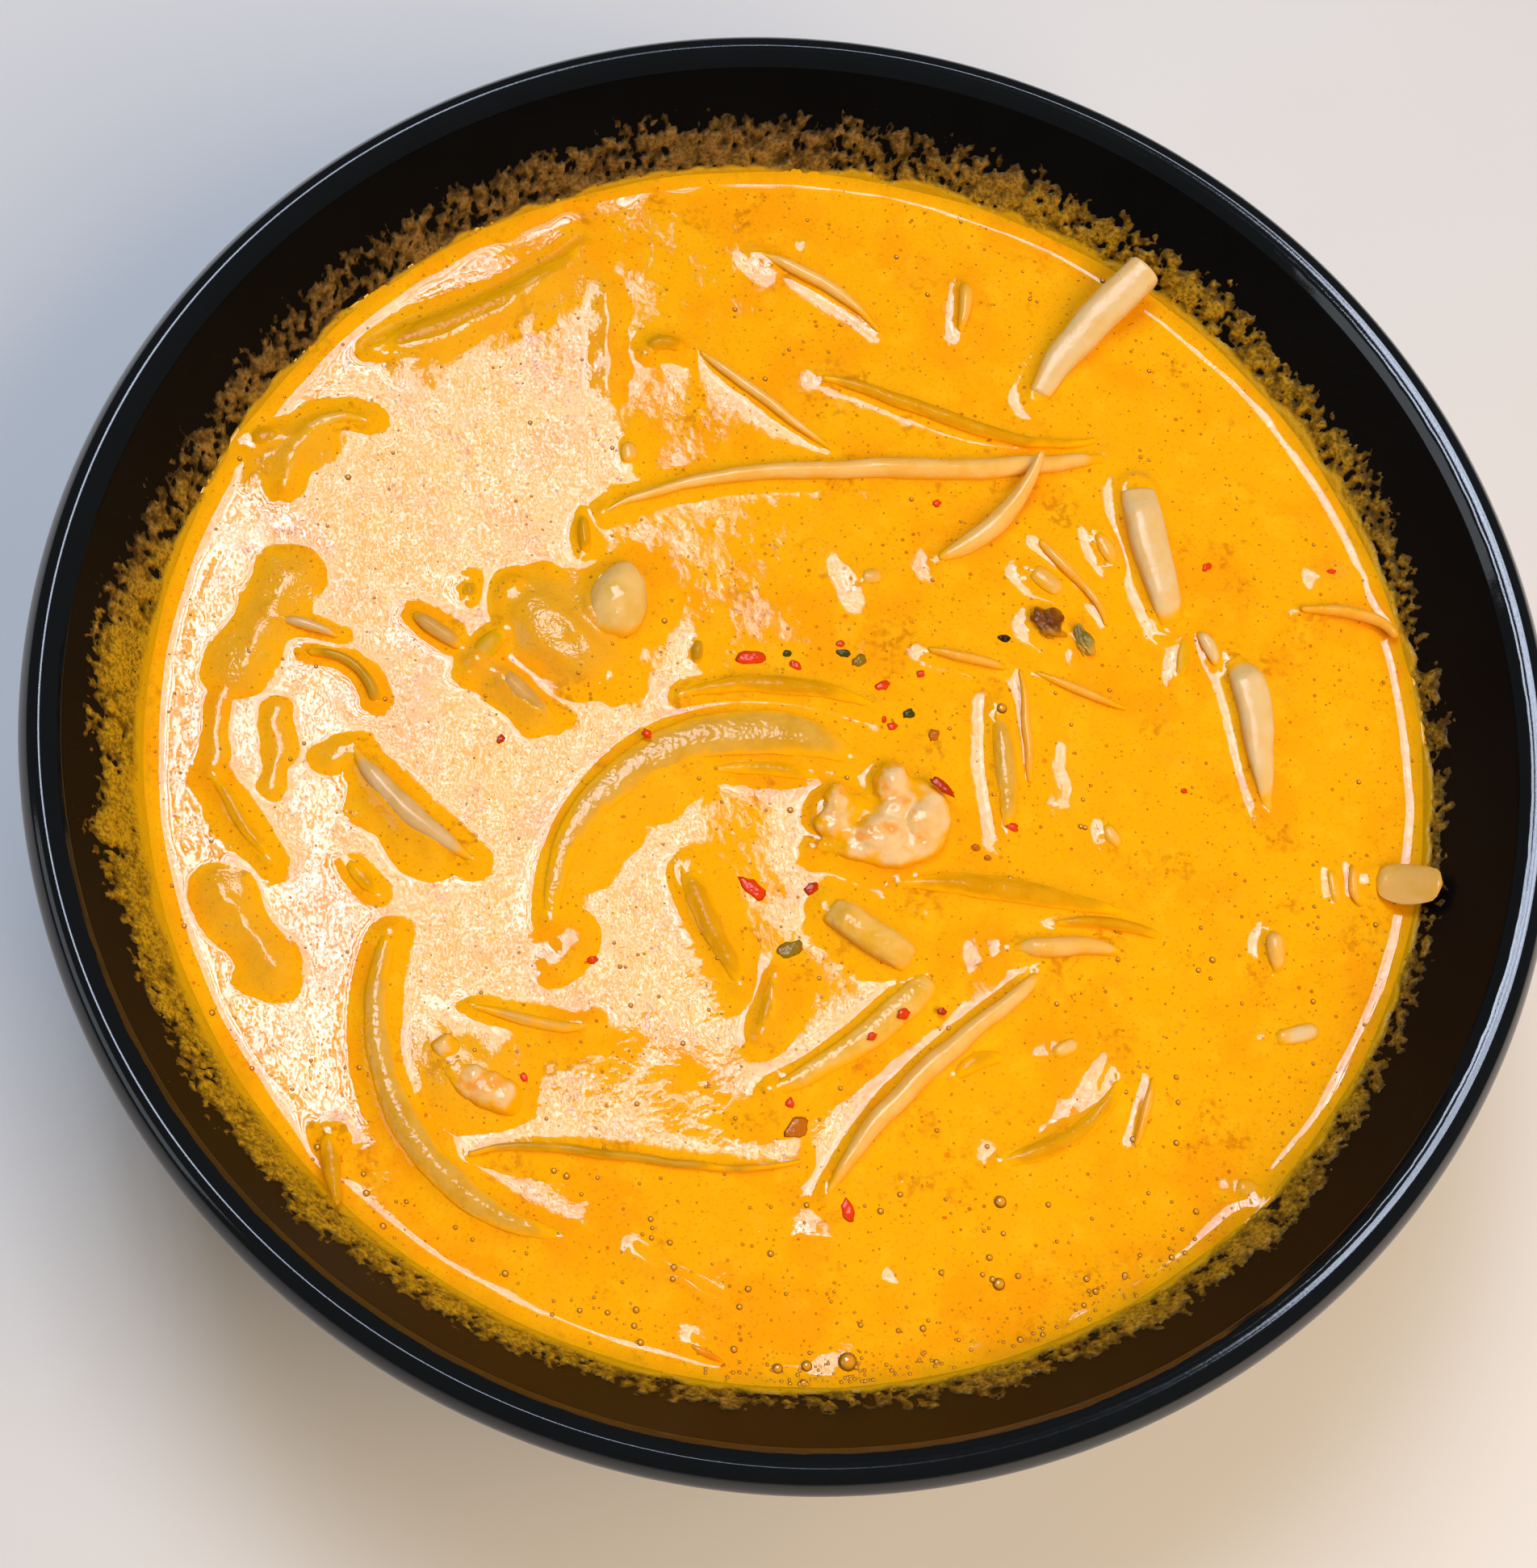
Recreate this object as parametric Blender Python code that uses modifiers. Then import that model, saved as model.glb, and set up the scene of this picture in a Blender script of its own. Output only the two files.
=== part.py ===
"""Champon, a noodle soup with shrimp, bean sprouts and onion, in its black bowl.

Units are metres, +Z is up, and the origin is the middle of the foot ring's underside.
The bowl is a turned shell.  The soup is a solid up to its level, cut round every piece
that floats in it.  Each floating piece lies along a bent centre line.
"""

import math
from collections import namedtuple

import bmesh
import bpy
from mathutils import Matrix, Vector

MM = 0.001

# Bowl: outer diameter 220 mm over the lip, 78 mm high, inner wall rising at about 59 degrees.
BOWL_HEIGHT = 78.0 * MM
LIP_RADIUS = 110.0 * MM
LIP_DROP = 3.6 * MM            # the lip is widest this far below its top
LIP_TOP_RADIUS = 106.7 * MM
INNER_EDGE_RADIUS = 104.0 * MM
INNER_EDGE_DROP = 1.8 * MM     # the inner wall begins this far below the top
FLOOR_TOP = 9.0 * MM
FLOOR_BOTTOM = 5.0 * MM
FLOOR_RADIUS = 38.0 * MM
FOOT_OUTER = 50.0 * MM
FOOT_INNER = 43.5 * MM
FOOT_FLAT = (44.5 * MM, 48.5 * MM)
FOOT_HEIGHT = 8.0 * MM
TURN_STEPS = 52

# Soup: level 16.6 mm under the top of the bowl, where the wall is 95 mm from the axis.
SOUP_LEVEL = 61.4 * MM
SOUP_RADIUS = 95.0 * MM
CLEARANCE = 0.35 * MM          # between the soup and the bowl
POCKET_EASE = 0.45 * MM        # along a pocket's slanted normals; about 0.3 mm square to its faces

# A floating piece.  x, y: the middle of its centre line, in mm; heading: its direction there;
# length and width in mm; bend: how far the heading turns over the length; hook: how far both
# ends turn the same way; start, end: the width there as a share of the greatest width, which
# lies at the share `peak` of the length.  Angles are in degrees, anticlockwise from above.
Piece = namedtuple("Piece", "kind x y heading length bend hook width start peak end")

# A kind of piece.  thick: thickness as a share of the width, up to `most` mm; top: how far
# its widest part stands out of the soup, in mm; sides: of its section; pitch: of its rings.
Kind = namedtuple("Kind", "thick most top sides pitch colour roughness")

KINDS = {
    "pale_strip": Kind(0.78, 4.6, 1.9, 8, 5.0, (0.80, 0.62, 0.38), 0.35),
    "sprout": Kind(0.90, 3.0, 1.0, 6, 5.6, (0.83, 0.62, 0.33), 0.30),
    "root": Kind(0.90, 1.8, 0.6, 6, 4.4, (0.82, 0.56, 0.22), 0.35),
    "onion": Kind(0.50, 1.7, 0.6, 6, 5.4, (0.72, 0.48, 0.16), 0.30),
    "petal": Kind(0.42, 1.8, 0.6, 6, 3.2, (0.78, 0.58, 0.28), 0.30),
    "leaf": Kind(0.30, 0.9, 0.5, 6, 2.4, (0.62, 0.50, 0.05), 0.40),
}

PIECES = {
    "pale_strip_top": Piece("pale_strip", 45.3, 68.2, 50, 26.6, -21, 6, 6.0, .60, .80, .95),
    "pale_strip_right": Piece("pale_strip", 54.6, 30.9, -78, 22.6, 13, -1, 5.9, .95, .25, .70),
    "pale_strip_tapered": Piece("pale_strip", 69.5, 2.8, -79, 25.9, -18, 22, 5.3, .60, .25, .20),
    "pale_strip_torn": Piece("root", 62.9, 16.4, -64, 6.4, -20, 0, 2.2, .50, .50, .40),
    "leaf_tail": Piece("leaf", 58.6, 14.7, -101, 6.2, -16, 0, 1.9, .40, .55, .50),
    "sprout_long": Piece("sprout", 8.7, 43.3, 10, 79.3, -14, 21, 3.4, .30, .75, .55),
    "sprout_with_head": Piece("sprout", 31.4, 36.1, 48, 24.6, 49, 5, 3.4, .40, .27, .30),
    "sprout_curved": Piece("root", 25.1, 52.1, -11, 44.5, 27, 21, 2.4, .40, .35, .40),
    "sprout_diagonal": Piece("root", -4.8, 54.2, -38, 26.0, 4, -4, 1.8, .45, .40, .45),
    "sprout_upper": Piece("root", 4.2, 74.9, -33, 23.6, -29, -2, 2.2, .45, .35, .40),
    "sprout_low": Piece("sprout", 18.1, -50.3, -134, 46.0, 22, 10, 3.2, .60, .55, .40),
    "sprout_pair_low": Piece("sprout", 39.1, -31.3, 0, 16.9, -12, -10, 3.1, .40, .35, .50),
    "sprout_pair_high": Piece("root", 45.3, -27.6, -5, 15.7, -25, -3, 1.8, .45, .40, .80),
    "sprout_edge": Piece("root", 85.4, 23.1, -18, 16.0, -66, -19, 2.0, .45, .50, .70),
    "sprout_left": Piece("root", -53.3, 14.1, -36, 9.0, 15, 0, 2.4, .50, .50, .60),
    "sprout_left_end": Piece("root", -40.1, 4.3, -41, 11.2, 11, 0, 2.8, .70, .30, .40),
    "bean_large": Piece("sprout", -56.8, -13.8, -43, 24.8, 32, -4, 3.6, .30, .50, .25),
    "bean_top": Piece("sprout", -20.3, 63.0, 2, 6.6, -100, 0, 2.5, .60, .50, .50),
    "seed": Piece("sprout", 70.0, -31.1, -88, 7.0, 8, 0, 2.8, .45, .40, .40),
    "root_strand": Piece("root", 43.0, 26.7, -55, 17.3, -20, -20, 1.6, .80, .20, .50),
    "root_pale": Piece("root", 42.7, 8.4, -21, 14.7, 7, 0, 1.4, .50, .40, .45),
    "root_upright": Piece("root", 34.3, 2.7, -86, 18.2, 1, 12, 1.5, .45, .60, .60),
    "root_short": Piece("root", 49.6, -55.3, -105, 10.7, 1, 0, 1.4, .50, .50, .50),
    "root_curl": Piece("root", 82.7, -20.6, -78, 6.9, 49, 39, 1.5, .60, .50, .50),
    "root_hook": Piece("root", -65.3, 8.4, -36, 14.0, -88, -11, 1.6, .60, .85, 1.0),
    "strip_pale": Piece("root", -71.9, 14.1, -15, 9.3, -19, 0, 1.6, .50, .40, .45),
    "strip_upright": Piece("root", -32.1, 30.6, -87, 6.2, 9, 0, 2.0, .50, .50, .60),
    "strip_short": Piece("root", 25.6, 13.1, -11, 12.2, 1, 0, 1.6, .50, .50, .60),
    "strip_beaded": Piece("root", -22.9, -63.5, 0, 47.0, 1, 24, 1.4, .50, .30, .45),
    "strip_top_right": Piece("root", 26.6, 72.4, -97, 9.2, -11, 0, 2.2, .60, .30, .45),
    "onion_arc": Piece("onion", -21.0, -4.1, 31, 61.6, -118, 3, 6.8, .28, .80, .30),
    "onion_arc_left": Piece("onion", -55.0, -59.3, -59, 56.2, 98, 1, 4.2, .55, .65, .35),
    "onion_arc_small": Piece("onion", 39.3, -58.8, 36, 23.2, 58, 7, 2.8, .60, .40, .45),
    "onion_curl": Piece("onion", -73.7, 45.0, 44, 19.4, -113, -22, 2.4, .50, .50, .45),
    "onion_strip_top": Piece("onion", -47.6, 67.6, 32, 38.0, 27, 2, 4.6, .30, .25, .35),
    "onion_strip_high": Piece("onion", -2.8, 7.6, -1, 29.8, -36, 4, 2.8, .35, .50, .35),
    "onion_strip_steep": Piece("onion", -12.4, -30.0, -65, 18.9, 7, -6, 3.6, .80, .30, .50),
    "onion_strip_mid": Piece("onion", 8.5, -46.3, -144, 29.0, -24, -4, 4.5, .95, .12, .45),
    "onion_strip_right": Piece("onion", 31.7, -23.1, -6, 34.4, -12, 4, 3.6, .30, .40, .25),
    "onion_sliver_low": Piece("onion", -38.2, -44.4, -8, 16.6, 25, 14, 1.8, .40, .60, .50),
    "onion_sliver_mid": Piece("onion", -4.4, -41.2, -104, 9.6, 1, 0, 2.4, .50, .50, .50),
    "onion_petal_left": Piece("onion", -80.1, -15.8, -55, 15.9, 8, 0, 2.2, .45, .50, .45),
    "onion_petal_upright": Piece("onion", 30.9, -4.4, -87, 20.4, -8, 0, 3.4, .50, .40, .35),
    "onion_petal_wide": Piece("petal", -35.4, 13.8, -41, 19.6, 10, 0, 7.4, .60, .45, .50),
    "onion_petal_small": Piece("petal", 38.2, 26.4, -37, 6.4, -10, 0, 3.2, .60, .50, .60),
    "onion_petal_thin": Piece("petal", 25.6, -48.8, 21, 8.0, -47, 0, 2.3, .45, .50, .45),
    "onion_petal_edge": Piece("petal", -79.5, 44.0, 15, 6.0, -60, 0, 3.2, .50, .40, .45),
    "onion_petal_wall": Piece("petal", 90.2, -20.6, -13, 8.4, 0, 0, 6.4, .65, .50, .70),
    "onion_petal_pointed": Piece("petal", -64.3, -66.2, -80, 10.6, -4, 0, 2.6, .60, .25, .30),
    "onion_block": Piece("pale_strip", 10.4, -30.4, -33, 14.4, 2, 0, 5.0, .85, .50, .85),
    "leaf_green": Piece("leaf", -46.2, 11.2, -126, 8.8, 4, 0, 3.2, .50, .45, .40),
    "scrap_pale": Piece("petal", 47.5, 32.1, -66, 6.0, 0, 0, 2.4, .50, .50, .45),
}

# Heights over the soup of a leaning piece's centre line, in mm, at its start and its end.
LEANING = {
    "pale_strip_top": (-0.8, 4.6),
    "sprout_with_head": (-0.7, 2.3),
    "onion_petal_wall": (0.0, 5.2),
    "onion_petal_pointed": (-0.2, 2.6),
    "sprout_edge": (-0.3, 0.9),
}
LEAN_POWER = 1.5               # a leaning piece rises late

# Lumps: x, y, length, width and height in mm, heading in degrees, and how far each stands
# out of the soup, in mm.
Lump = namedtuple("Lump", "x y length width height heading out")
ONION_CHUNK = Lump(-26.6, 20.1, 12.6, 10.6, 6.0, 78, 2.6)
MEAT_SCRAP = Lump(38.3, 19.2, 5.6, 4.4, 2.6, -30, 1.2)
GREEN_SCRAP = Lump(43.4, 16.6, 5.2, 2.4, 2.0, -68, 1.0)
LUMP_RINGS = 6
LUMP_SIDES = 8
CHUNK_POINT = 0.34             # how much narrower the chunk is at its pointed end

# The large shrimp: a curled body open to the left, a lobe at its end and the torn flesh
# inside the curl.  The small shrimp is straighter and lies lower.
SHRIMP_BODY = Piece("pale_strip", 15.8, -17.3, 46, 26.7, 186, 76, 5.4, .35, .55, .90)
SHRIMP_KIND = Kind(0.92, 5.0, 2.4, 8, 3.2, (0.86, 0.62, 0.36), 0.30)
SHRIMP_LUMPS = (
    Lump(13.8, -7.4, 7.0, 5.8, 4.6, 80, 2.7),
    Lump(10.4, -12.7, 17.6, 7.8, 3.6, -6, 1.1),
    Lump(5.6, -10.6, 4.6, 3.6, 3.0, 70, 1.7),
)
SMALL_SHRIMP = Piece("pale_strip", -44.9, -53.7, -32, 15.0, 38, -11, 5.4, .50, .62, .60)
SMALL_SHRIMP_KIND = Kind(0.80, 4.2, 1.0, 8, 2.8, (0.86, 0.62, 0.36), 0.30)

# Chili flakes on the soup: x, y, length, width in mm, heading in degrees.
FLAKES = (
    (-7.0, 12.0, 4.6, 2.4, 10),
    (-0.3, 11.1, 2.6, 1.4, -25),
    (12.8, 8.4, 2.6, 1.6, 15),
    (-6.6, -23.7, 5.4, 2.6, -38),
    (2.0, -23.7, 2.6, 2.2, 40),
    (14.2, 2.0, 1.8, 1.4, 0),
    (6.8, -70.3, 4.2, 1.8, -70),
    (-0.3, -58.7, 4.4, 3.2, 35),
    (7.0, 13.4, 2.4, 1.4, -10),
    (16.7, 4.1, 2.2, 1.6, 20),
    (31.4, 16.8, 2.2, 1.4, -10),
    (-1.3, -55.1, 2.0, 1.4, -75),
    (63.4, 30.0, 2.0, 1.4, 30),
    (20.4, 0.8, 2.2, 1.8, 60),
)
FLAKE_HEIGHT = 0.9 * MM

BLACK = (0.012, 0.012, 0.013)
SOUP_COLOUR = (0.93, 0.42, 0.01)
CHUNK_COLOUR = (0.78, 0.60, 0.24)
MEAT_COLOUR = (0.22, 0.07, 0.01)
GREEN_COLOUR = (0.34, 0.30, 0.12)


def clear_scene():
    for obj in list(bpy.data.objects):
        bpy.data.objects.remove(obj, do_unlink=True)


def new_collection(name):
    collection = bpy.data.collections.new(name)
    bpy.context.scene.collection.children.link(collection)
    return collection


def finish(name, colour, roughness):
    material = bpy.data.materials.new(name)
    material.use_nodes = True
    shader = material.node_tree.nodes["Principled BSDF"]
    shader.inputs["Base Color"].default_value = (*colour, 1.0)
    shader.inputs["Roughness"].default_value = roughness
    shader.inputs["Metallic"].default_value = 0.0
    return material


def bezier(points, count):
    """count points along a cubic curve, without its last point."""
    p0, p1, p2, p3 = (Vector(p) for p in points)
    result = []
    for i in range(count):
        t = i / count
        s = 1.0 - t
        result.append(p0 * s**3 + p1 * 3 * s * s * t + p2 * 3 * s * t * t + p3 * t**3)
    return [tuple(p) for p in result]


def inner_wall(gap):
    """(radius, height) up the bowl's inside from the floor to the soup line, gap inside it."""
    rise = BOWL_HEIGHT - INNER_EDGE_DROP - SOUP_LEVEL
    run = INNER_EDGE_RADIUS - SOUP_RADIUS
    slant = math.hypot(rise, run)
    steep = Vector((run / slant, rise / slant))
    top = Vector((SOUP_RADIUS - gap * steep.y, SOUP_LEVEL + gap * steep.x))
    floor = Vector((FLOOR_RADIUS, FLOOR_TOP + gap))
    reach = Vector((28.0 * MM, 0.0))
    points = bezier((floor, floor + reach, top - steep * 32.0 * MM, top), 7)
    return points + [tuple(top)]


def lip_profile():
    """The rolled lip, from its inner edge over the top to the wall below it."""
    top = BOWL_HEIGHT
    widest = top - LIP_DROP
    return [
        (INNER_EDGE_RADIUS, top - INNER_EDGE_DROP),
        (LIP_TOP_RADIUS - 1.2 * MM, top - 0.3 * MM),
        (LIP_TOP_RADIUS, top),
        (LIP_TOP_RADIUS + 2.2 * MM, top - 1.0 * MM),
        (LIP_RADIUS, widest),
        (LIP_RADIUS - 1.4 * MM, widest - 2.6 * MM),
        (LIP_RADIUS - 3.6 * MM, widest - 4.0 * MM),
    ]


def bowl_profile():
    """From the middle of the floor up the inside, over the lip and down the outside."""
    under_lip = lip_profile()[-1]
    foot_top = (FOOT_OUTER + 1.0 * MM, FOOT_HEIGHT)
    belly = bezier((under_lip, (94.0 * MM, 46.0 * MM), (74.0 * MM, 12.0 * MM), foot_top), 7)
    return (
        [(0.0, FLOOR_TOP)]
        + inner_wall(0.0)
        + lip_profile()[:-1]
        + belly
        + [
            foot_top,
            (FOOT_OUTER, 1.2 * MM),
            (FOOT_FLAT[1], 0.0),
            (FOOT_FLAT[0], 0.0),
            (FOOT_INNER, FLOOR_BOTTOM),
            (0.0, FLOOR_BOTTOM),
        ]
    )


def soup_profile():
    """From the middle of the surface out to the wall, down it and back along the floor."""
    side = [p for p in inner_wall(CLEARANCE) if p[1] < SOUP_LEVEL]
    slope = (side[-1][0] - side[-2][0]) / (side[-1][1] - side[-2][1])
    edge = (side[-1][0] + slope * (SOUP_LEVEL - side[-1][1]), SOUP_LEVEL)
    return [(0.0, SOUP_LEVEL), edge] + side[::-1] + [(0.0, FLOOR_TOP + CLEARANCE)]


def revolve(name, profile, collection):
    """Turn an open profile, which starts and ends on the axis, into a closed solid."""
    mesh = bpy.data.meshes.new(name)
    edges = [(i, i + 1) for i in range(len(profile) - 1)]
    mesh.from_pydata([(r, 0.0, z) for r, z in profile], edges, [])
    obj = bpy.data.objects.new(name, mesh)
    collection.objects.link(obj)
    turn = obj.modifiers.new("Turn", "SCREW")
    turn.axis = "Z"
    turn.steps = TURN_STEPS
    turn.render_steps = TURN_STEPS
    turn.use_merge_vertices = True
    turn.merge_threshold = 0.01 * MM
    return obj


def centre_line(piece, kind, lean, count):
    """Points, width shares and heights of a piece's centre line, from its start to its end."""
    middle = (count - 1) // 2
    turns = []
    for i in range(count):
        u = i / (count - 1) - 0.5
        hook = piece.hook * (4.0 * u * u - 1.0 / 3.0)
        turns.append(math.radians(piece.heading + piece.bend * u + hook))
    step = piece.length / (count - 1)
    spots = [Vector((0.0, 0.0))]
    for a, b in zip(turns, turns[1:]):
        mean = Vector((math.cos(a) + math.cos(b), math.sin(a) + math.sin(b))) * 0.5
        spots.append(spots[-1] + mean * step)
    shift = Vector((piece.x, piece.y)) - spots[middle]
    line = []
    for i, spot in enumerate(spots):
        s = i / (count - 1)
        share = width_share(piece, s)
        half = 0.5 * thickness(piece, kind) * share
        if lean:
            height = lean[0] + (lean[1] - lean[0]) * s**LEAN_POWER
        else:
            height = kind.top * (0.35 + 0.65 * share) - half
        line.append((spot + shift, height, share))
    return line


def width_share(piece, s):
    """Width at the share s of the length, as a share of the greatest: two eased ramps."""
    if s < piece.peak:
        low, t = piece.start, s / piece.peak
    else:
        low, t = piece.end, (1.0 - s) / (1.0 - piece.peak)
    return low + (1.0 - low) * math.sin(0.5 * math.pi * t)


def thickness(piece, kind):
    return min(kind.thick * piece.width, kind.most)


def section(width, height, sides):
    """A closed curve object: an ellipse with the given number of points."""
    curve = bpy.data.curves.new("section", "CURVE")
    curve.dimensions = "2D"
    spline = curve.splines.new("POLY")
    spline.points.add(sides - 1)
    spline.use_cyclic_u = True
    for i, point in enumerate(spline.points):
        angle = 2.0 * math.pi * (i + 0.5) / sides
        point.co = (0.5 * width * math.cos(angle), 0.5 * height * math.sin(angle), 0.0, 1.0)
    obj = bpy.data.objects.new("section", curve)
    bpy.context.scene.collection.objects.link(obj)
    return obj


def to_mesh_object(name, source, collection):
    """The evaluated shape of an object as a welded, outward-facing mesh object."""
    bpy.context.view_layer.update()
    evaluated = source.evaluated_get(bpy.context.evaluated_depsgraph_get())
    mesh = bpy.data.meshes.new_from_object(evaluated)
    mesh.name = name
    form = bmesh.new()
    form.from_mesh(mesh)
    bmesh.ops.remove_doubles(form, verts=form.verts, dist=0.001 * MM)
    bmesh.ops.recalc_face_normals(form, faces=form.faces)
    form.to_mesh(mesh)
    form.free()
    result = bpy.data.objects.new(name, mesh)
    result.matrix_world = source.matrix_world
    collection.objects.link(result)
    bpy.data.objects.remove(source, do_unlink=True)
    result.name = name
    return result


def swept(name, piece, kind, collection, lean=None):
    """A strand or strip: an elliptical section carried along the piece's centre line."""
    sides = kind.sides
    count = max(5, 2 * round(piece.length / kind.pitch / 2) + 1)
    outline = section(piece.width * MM, thickness(piece, kind) * MM, sides)
    curve = bpy.data.curves.new(name, "CURVE")
    curve.dimensions = "3D"
    curve.twist_mode = "Z_UP"
    curve.bevel_mode = "OBJECT"
    curve.bevel_object = outline
    curve.use_fill_caps = True
    spline = curve.splines.new("POLY")
    spline.points.add(count - 1)
    for point, (spot, height, share) in zip(spline.points, centre_line(piece, kind, lean, count)):
        point.co = (spot.x * MM, spot.y * MM, SOUP_LEVEL + height * MM, 1.0)
        point.radius = share
    strand = bpy.data.objects.new(name + "_line", curve)
    collection.objects.link(strand)
    result = to_mesh_object(name, strand, collection)
    bpy.data.objects.remove(outline, do_unlink=True)
    return result


def lump(name, shape, collection, point=0.0):
    """A rounded lump, narrowed by the share `point` towards the end that it heads for."""
    bpy.ops.mesh.primitive_uv_sphere_add(segments=LUMP_SIDES, ring_count=LUMP_RINGS, radius=0.5)
    obj = bpy.context.object
    obj.name = name
    for old in list(obj.users_collection):
        old.objects.unlink(obj)
    collection.objects.link(obj)
    for vertex in obj.data.vertices:
        vertex.co.y *= 1.0 - point * (vertex.co.x + 0.5)
    size = Matrix.Diagonal((shape.length * MM, shape.width * MM, shape.height * MM, 1.0))
    turn = Matrix.Rotation(math.radians(shape.heading), 4, "Z")
    level = SOUP_LEVEL + (shape.out - 0.5 * shape.height) * MM
    place = Matrix.Translation((shape.x * MM, shape.y * MM, level))
    obj.data.transform(place @ turn @ size)
    return obj


def flake(x, y, length, width, heading, collection):
    """A chili flake: a flat faceted lens, half of it above the soup."""
    bpy.ops.mesh.primitive_ico_sphere_add(subdivisions=1, radius=0.5)
    obj = bpy.context.object
    for old in list(obj.users_collection):
        old.objects.unlink(obj)
    collection.objects.link(obj)
    size = Matrix.Diagonal((length * MM, width * MM, FLAKE_HEIGHT, 1.0))
    turn = Matrix.Rotation(math.radians(heading), 4, "Z")
    place = Matrix.Translation((x * MM, y * MM, SOUP_LEVEL))
    obj.data.transform(place @ turn @ size)
    return obj


def joined(obj, extras, collection):
    """obj fused with all of the collection `extras`, whose objects are then removed."""
    name = obj.name
    union = obj.modifiers.new("Fuse", "BOOLEAN")
    union.operation = "UNION"
    union.solver = "EXACT"
    union.operand_type = "COLLECTION"
    union.collection = extras
    result = to_mesh_object(name + "_whole", obj, collection)
    result.name = name
    for extra in list(extras.objects):
        bpy.data.objects.remove(extra, do_unlink=True)
    bpy.data.collections.remove(extras)
    return result


def dress(obj, material):
    obj.data.materials.clear()
    obj.data.materials.append(material)
    obj.data.shade_smooth()
    obj.data.set_sharp_from_angle(angle=math.radians(50.0))


def pocket(obj, cutters):
    """A copy of obj, a little larger, that cuts its place out of the soup."""
    cutter = obj.copy()
    cutter.data = obj.data.copy()
    cutter.name = "pocket_" + obj.name
    cutters.objects.link(cutter)
    ease = cutter.modifiers.new("Ease", "DISPLACE")
    ease.mid_level = 0.0
    ease.strength = POCKET_EASE
    cutter.hide_render = True
    cutter.display_type = "WIRE"


def make_pieces(collection, cutters):
    """Every strip that floats in the soup or leans on the bowl."""
    finishes = {}
    for name, kind in KINDS.items():
        finishes[name] = finish(name, kind.colour, kind.roughness)
    for name, piece in PIECES.items():
        obj = swept(name, piece, KINDS[piece.kind], collection, LEANING.get(name))
        dress(obj, finishes[piece.kind])
        pocket(obj, cutters)


def make_shrimps(collection, cutters):
    """Both shrimps.  The parts of the large one are cut out of the soup one by one."""
    flesh = finish("shrimp", SHRIMP_KIND.colour, SHRIMP_KIND.roughness)
    body = swept("shrimp_large", SHRIMP_BODY, SHRIMP_KIND, collection)
    pocket(body, cutters)
    extras = new_collection("shrimp_lumps")
    for number, shape in enumerate(SHRIMP_LUMPS):
        pocket(lump("shrimp_lump_%d" % number, shape, extras), cutters)
    dress(joined(body, extras, collection), flesh)
    small = swept("shrimp_small", SMALL_SHRIMP, SMALL_SHRIMP_KIND, collection)
    dress(small, flesh)
    pocket(small, cutters)


def make_scraps(collection, cutters):
    for name, shape, point, colour, roughness in (
        ("onion_chunk", ONION_CHUNK, CHUNK_POINT, CHUNK_COLOUR, 0.30),
        ("meat_scrap", MEAT_SCRAP, 0.0, MEAT_COLOUR, 0.45),
        ("green_scrap", GREEN_SCRAP, 0.0, GREEN_COLOUR, 0.40),
    ):
        scrap = lump(name, shape, collection, point)
        dress(scrap, finish(name, colour, roughness))
        pocket(scrap, cutters)


def make_soup(collection, cutters):
    """The soup, with its flakes fused on and the pockets cut out of it."""
    soup = revolve("soup", soup_profile(), collection)
    flakes = new_collection("flakes")
    for row in FLAKES:
        flake(*row, flakes)
    soup = joined(soup, flakes, collection)
    soup.data.materials.append(finish("soup", SOUP_COLOUR, 0.12))
    cut = soup.modifiers.new("Pockets", "BOOLEAN")
    cut.operation = "DIFFERENCE"
    cut.solver = "EXACT"
    cut.operand_type = "COLLECTION"
    cut.collection = cutters


def main():
    clear_scene()
    champon = new_collection("champon")
    bowl = revolve("bowl", bowl_profile(), champon)
    bowl.data.materials.append(finish("bowl", BLACK, 0.25))
    cutters = new_collection("pockets")
    make_pieces(champon, cutters)
    make_shrimps(champon, cutters)
    make_scraps(champon, cutters)
    make_soup(champon, cutters)


main()
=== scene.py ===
"""The looks of a champon in its black bowl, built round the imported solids.

Tables and shapes are in millimetres, with z counted from the foot's underside, and meshes are
written in metres.  A strand or strip follows the same centre line as its solid.
"""

import math
from collections import namedtuple

import bpy
import numpy as np
from mathutils import Matrix, Vector


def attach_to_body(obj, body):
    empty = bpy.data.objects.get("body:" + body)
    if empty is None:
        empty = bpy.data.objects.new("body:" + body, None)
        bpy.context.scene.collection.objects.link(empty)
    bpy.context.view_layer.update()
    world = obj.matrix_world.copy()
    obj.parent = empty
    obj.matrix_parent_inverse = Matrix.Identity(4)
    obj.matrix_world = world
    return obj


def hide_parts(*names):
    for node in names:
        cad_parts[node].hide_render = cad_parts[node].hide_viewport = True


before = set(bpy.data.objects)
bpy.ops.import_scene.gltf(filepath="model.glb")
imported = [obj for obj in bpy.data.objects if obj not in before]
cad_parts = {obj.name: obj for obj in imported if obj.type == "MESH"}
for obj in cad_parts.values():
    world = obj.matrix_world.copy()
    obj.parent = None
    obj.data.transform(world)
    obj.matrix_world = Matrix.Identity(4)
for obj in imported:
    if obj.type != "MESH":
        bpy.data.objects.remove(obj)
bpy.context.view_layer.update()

MM = 0.001

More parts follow.
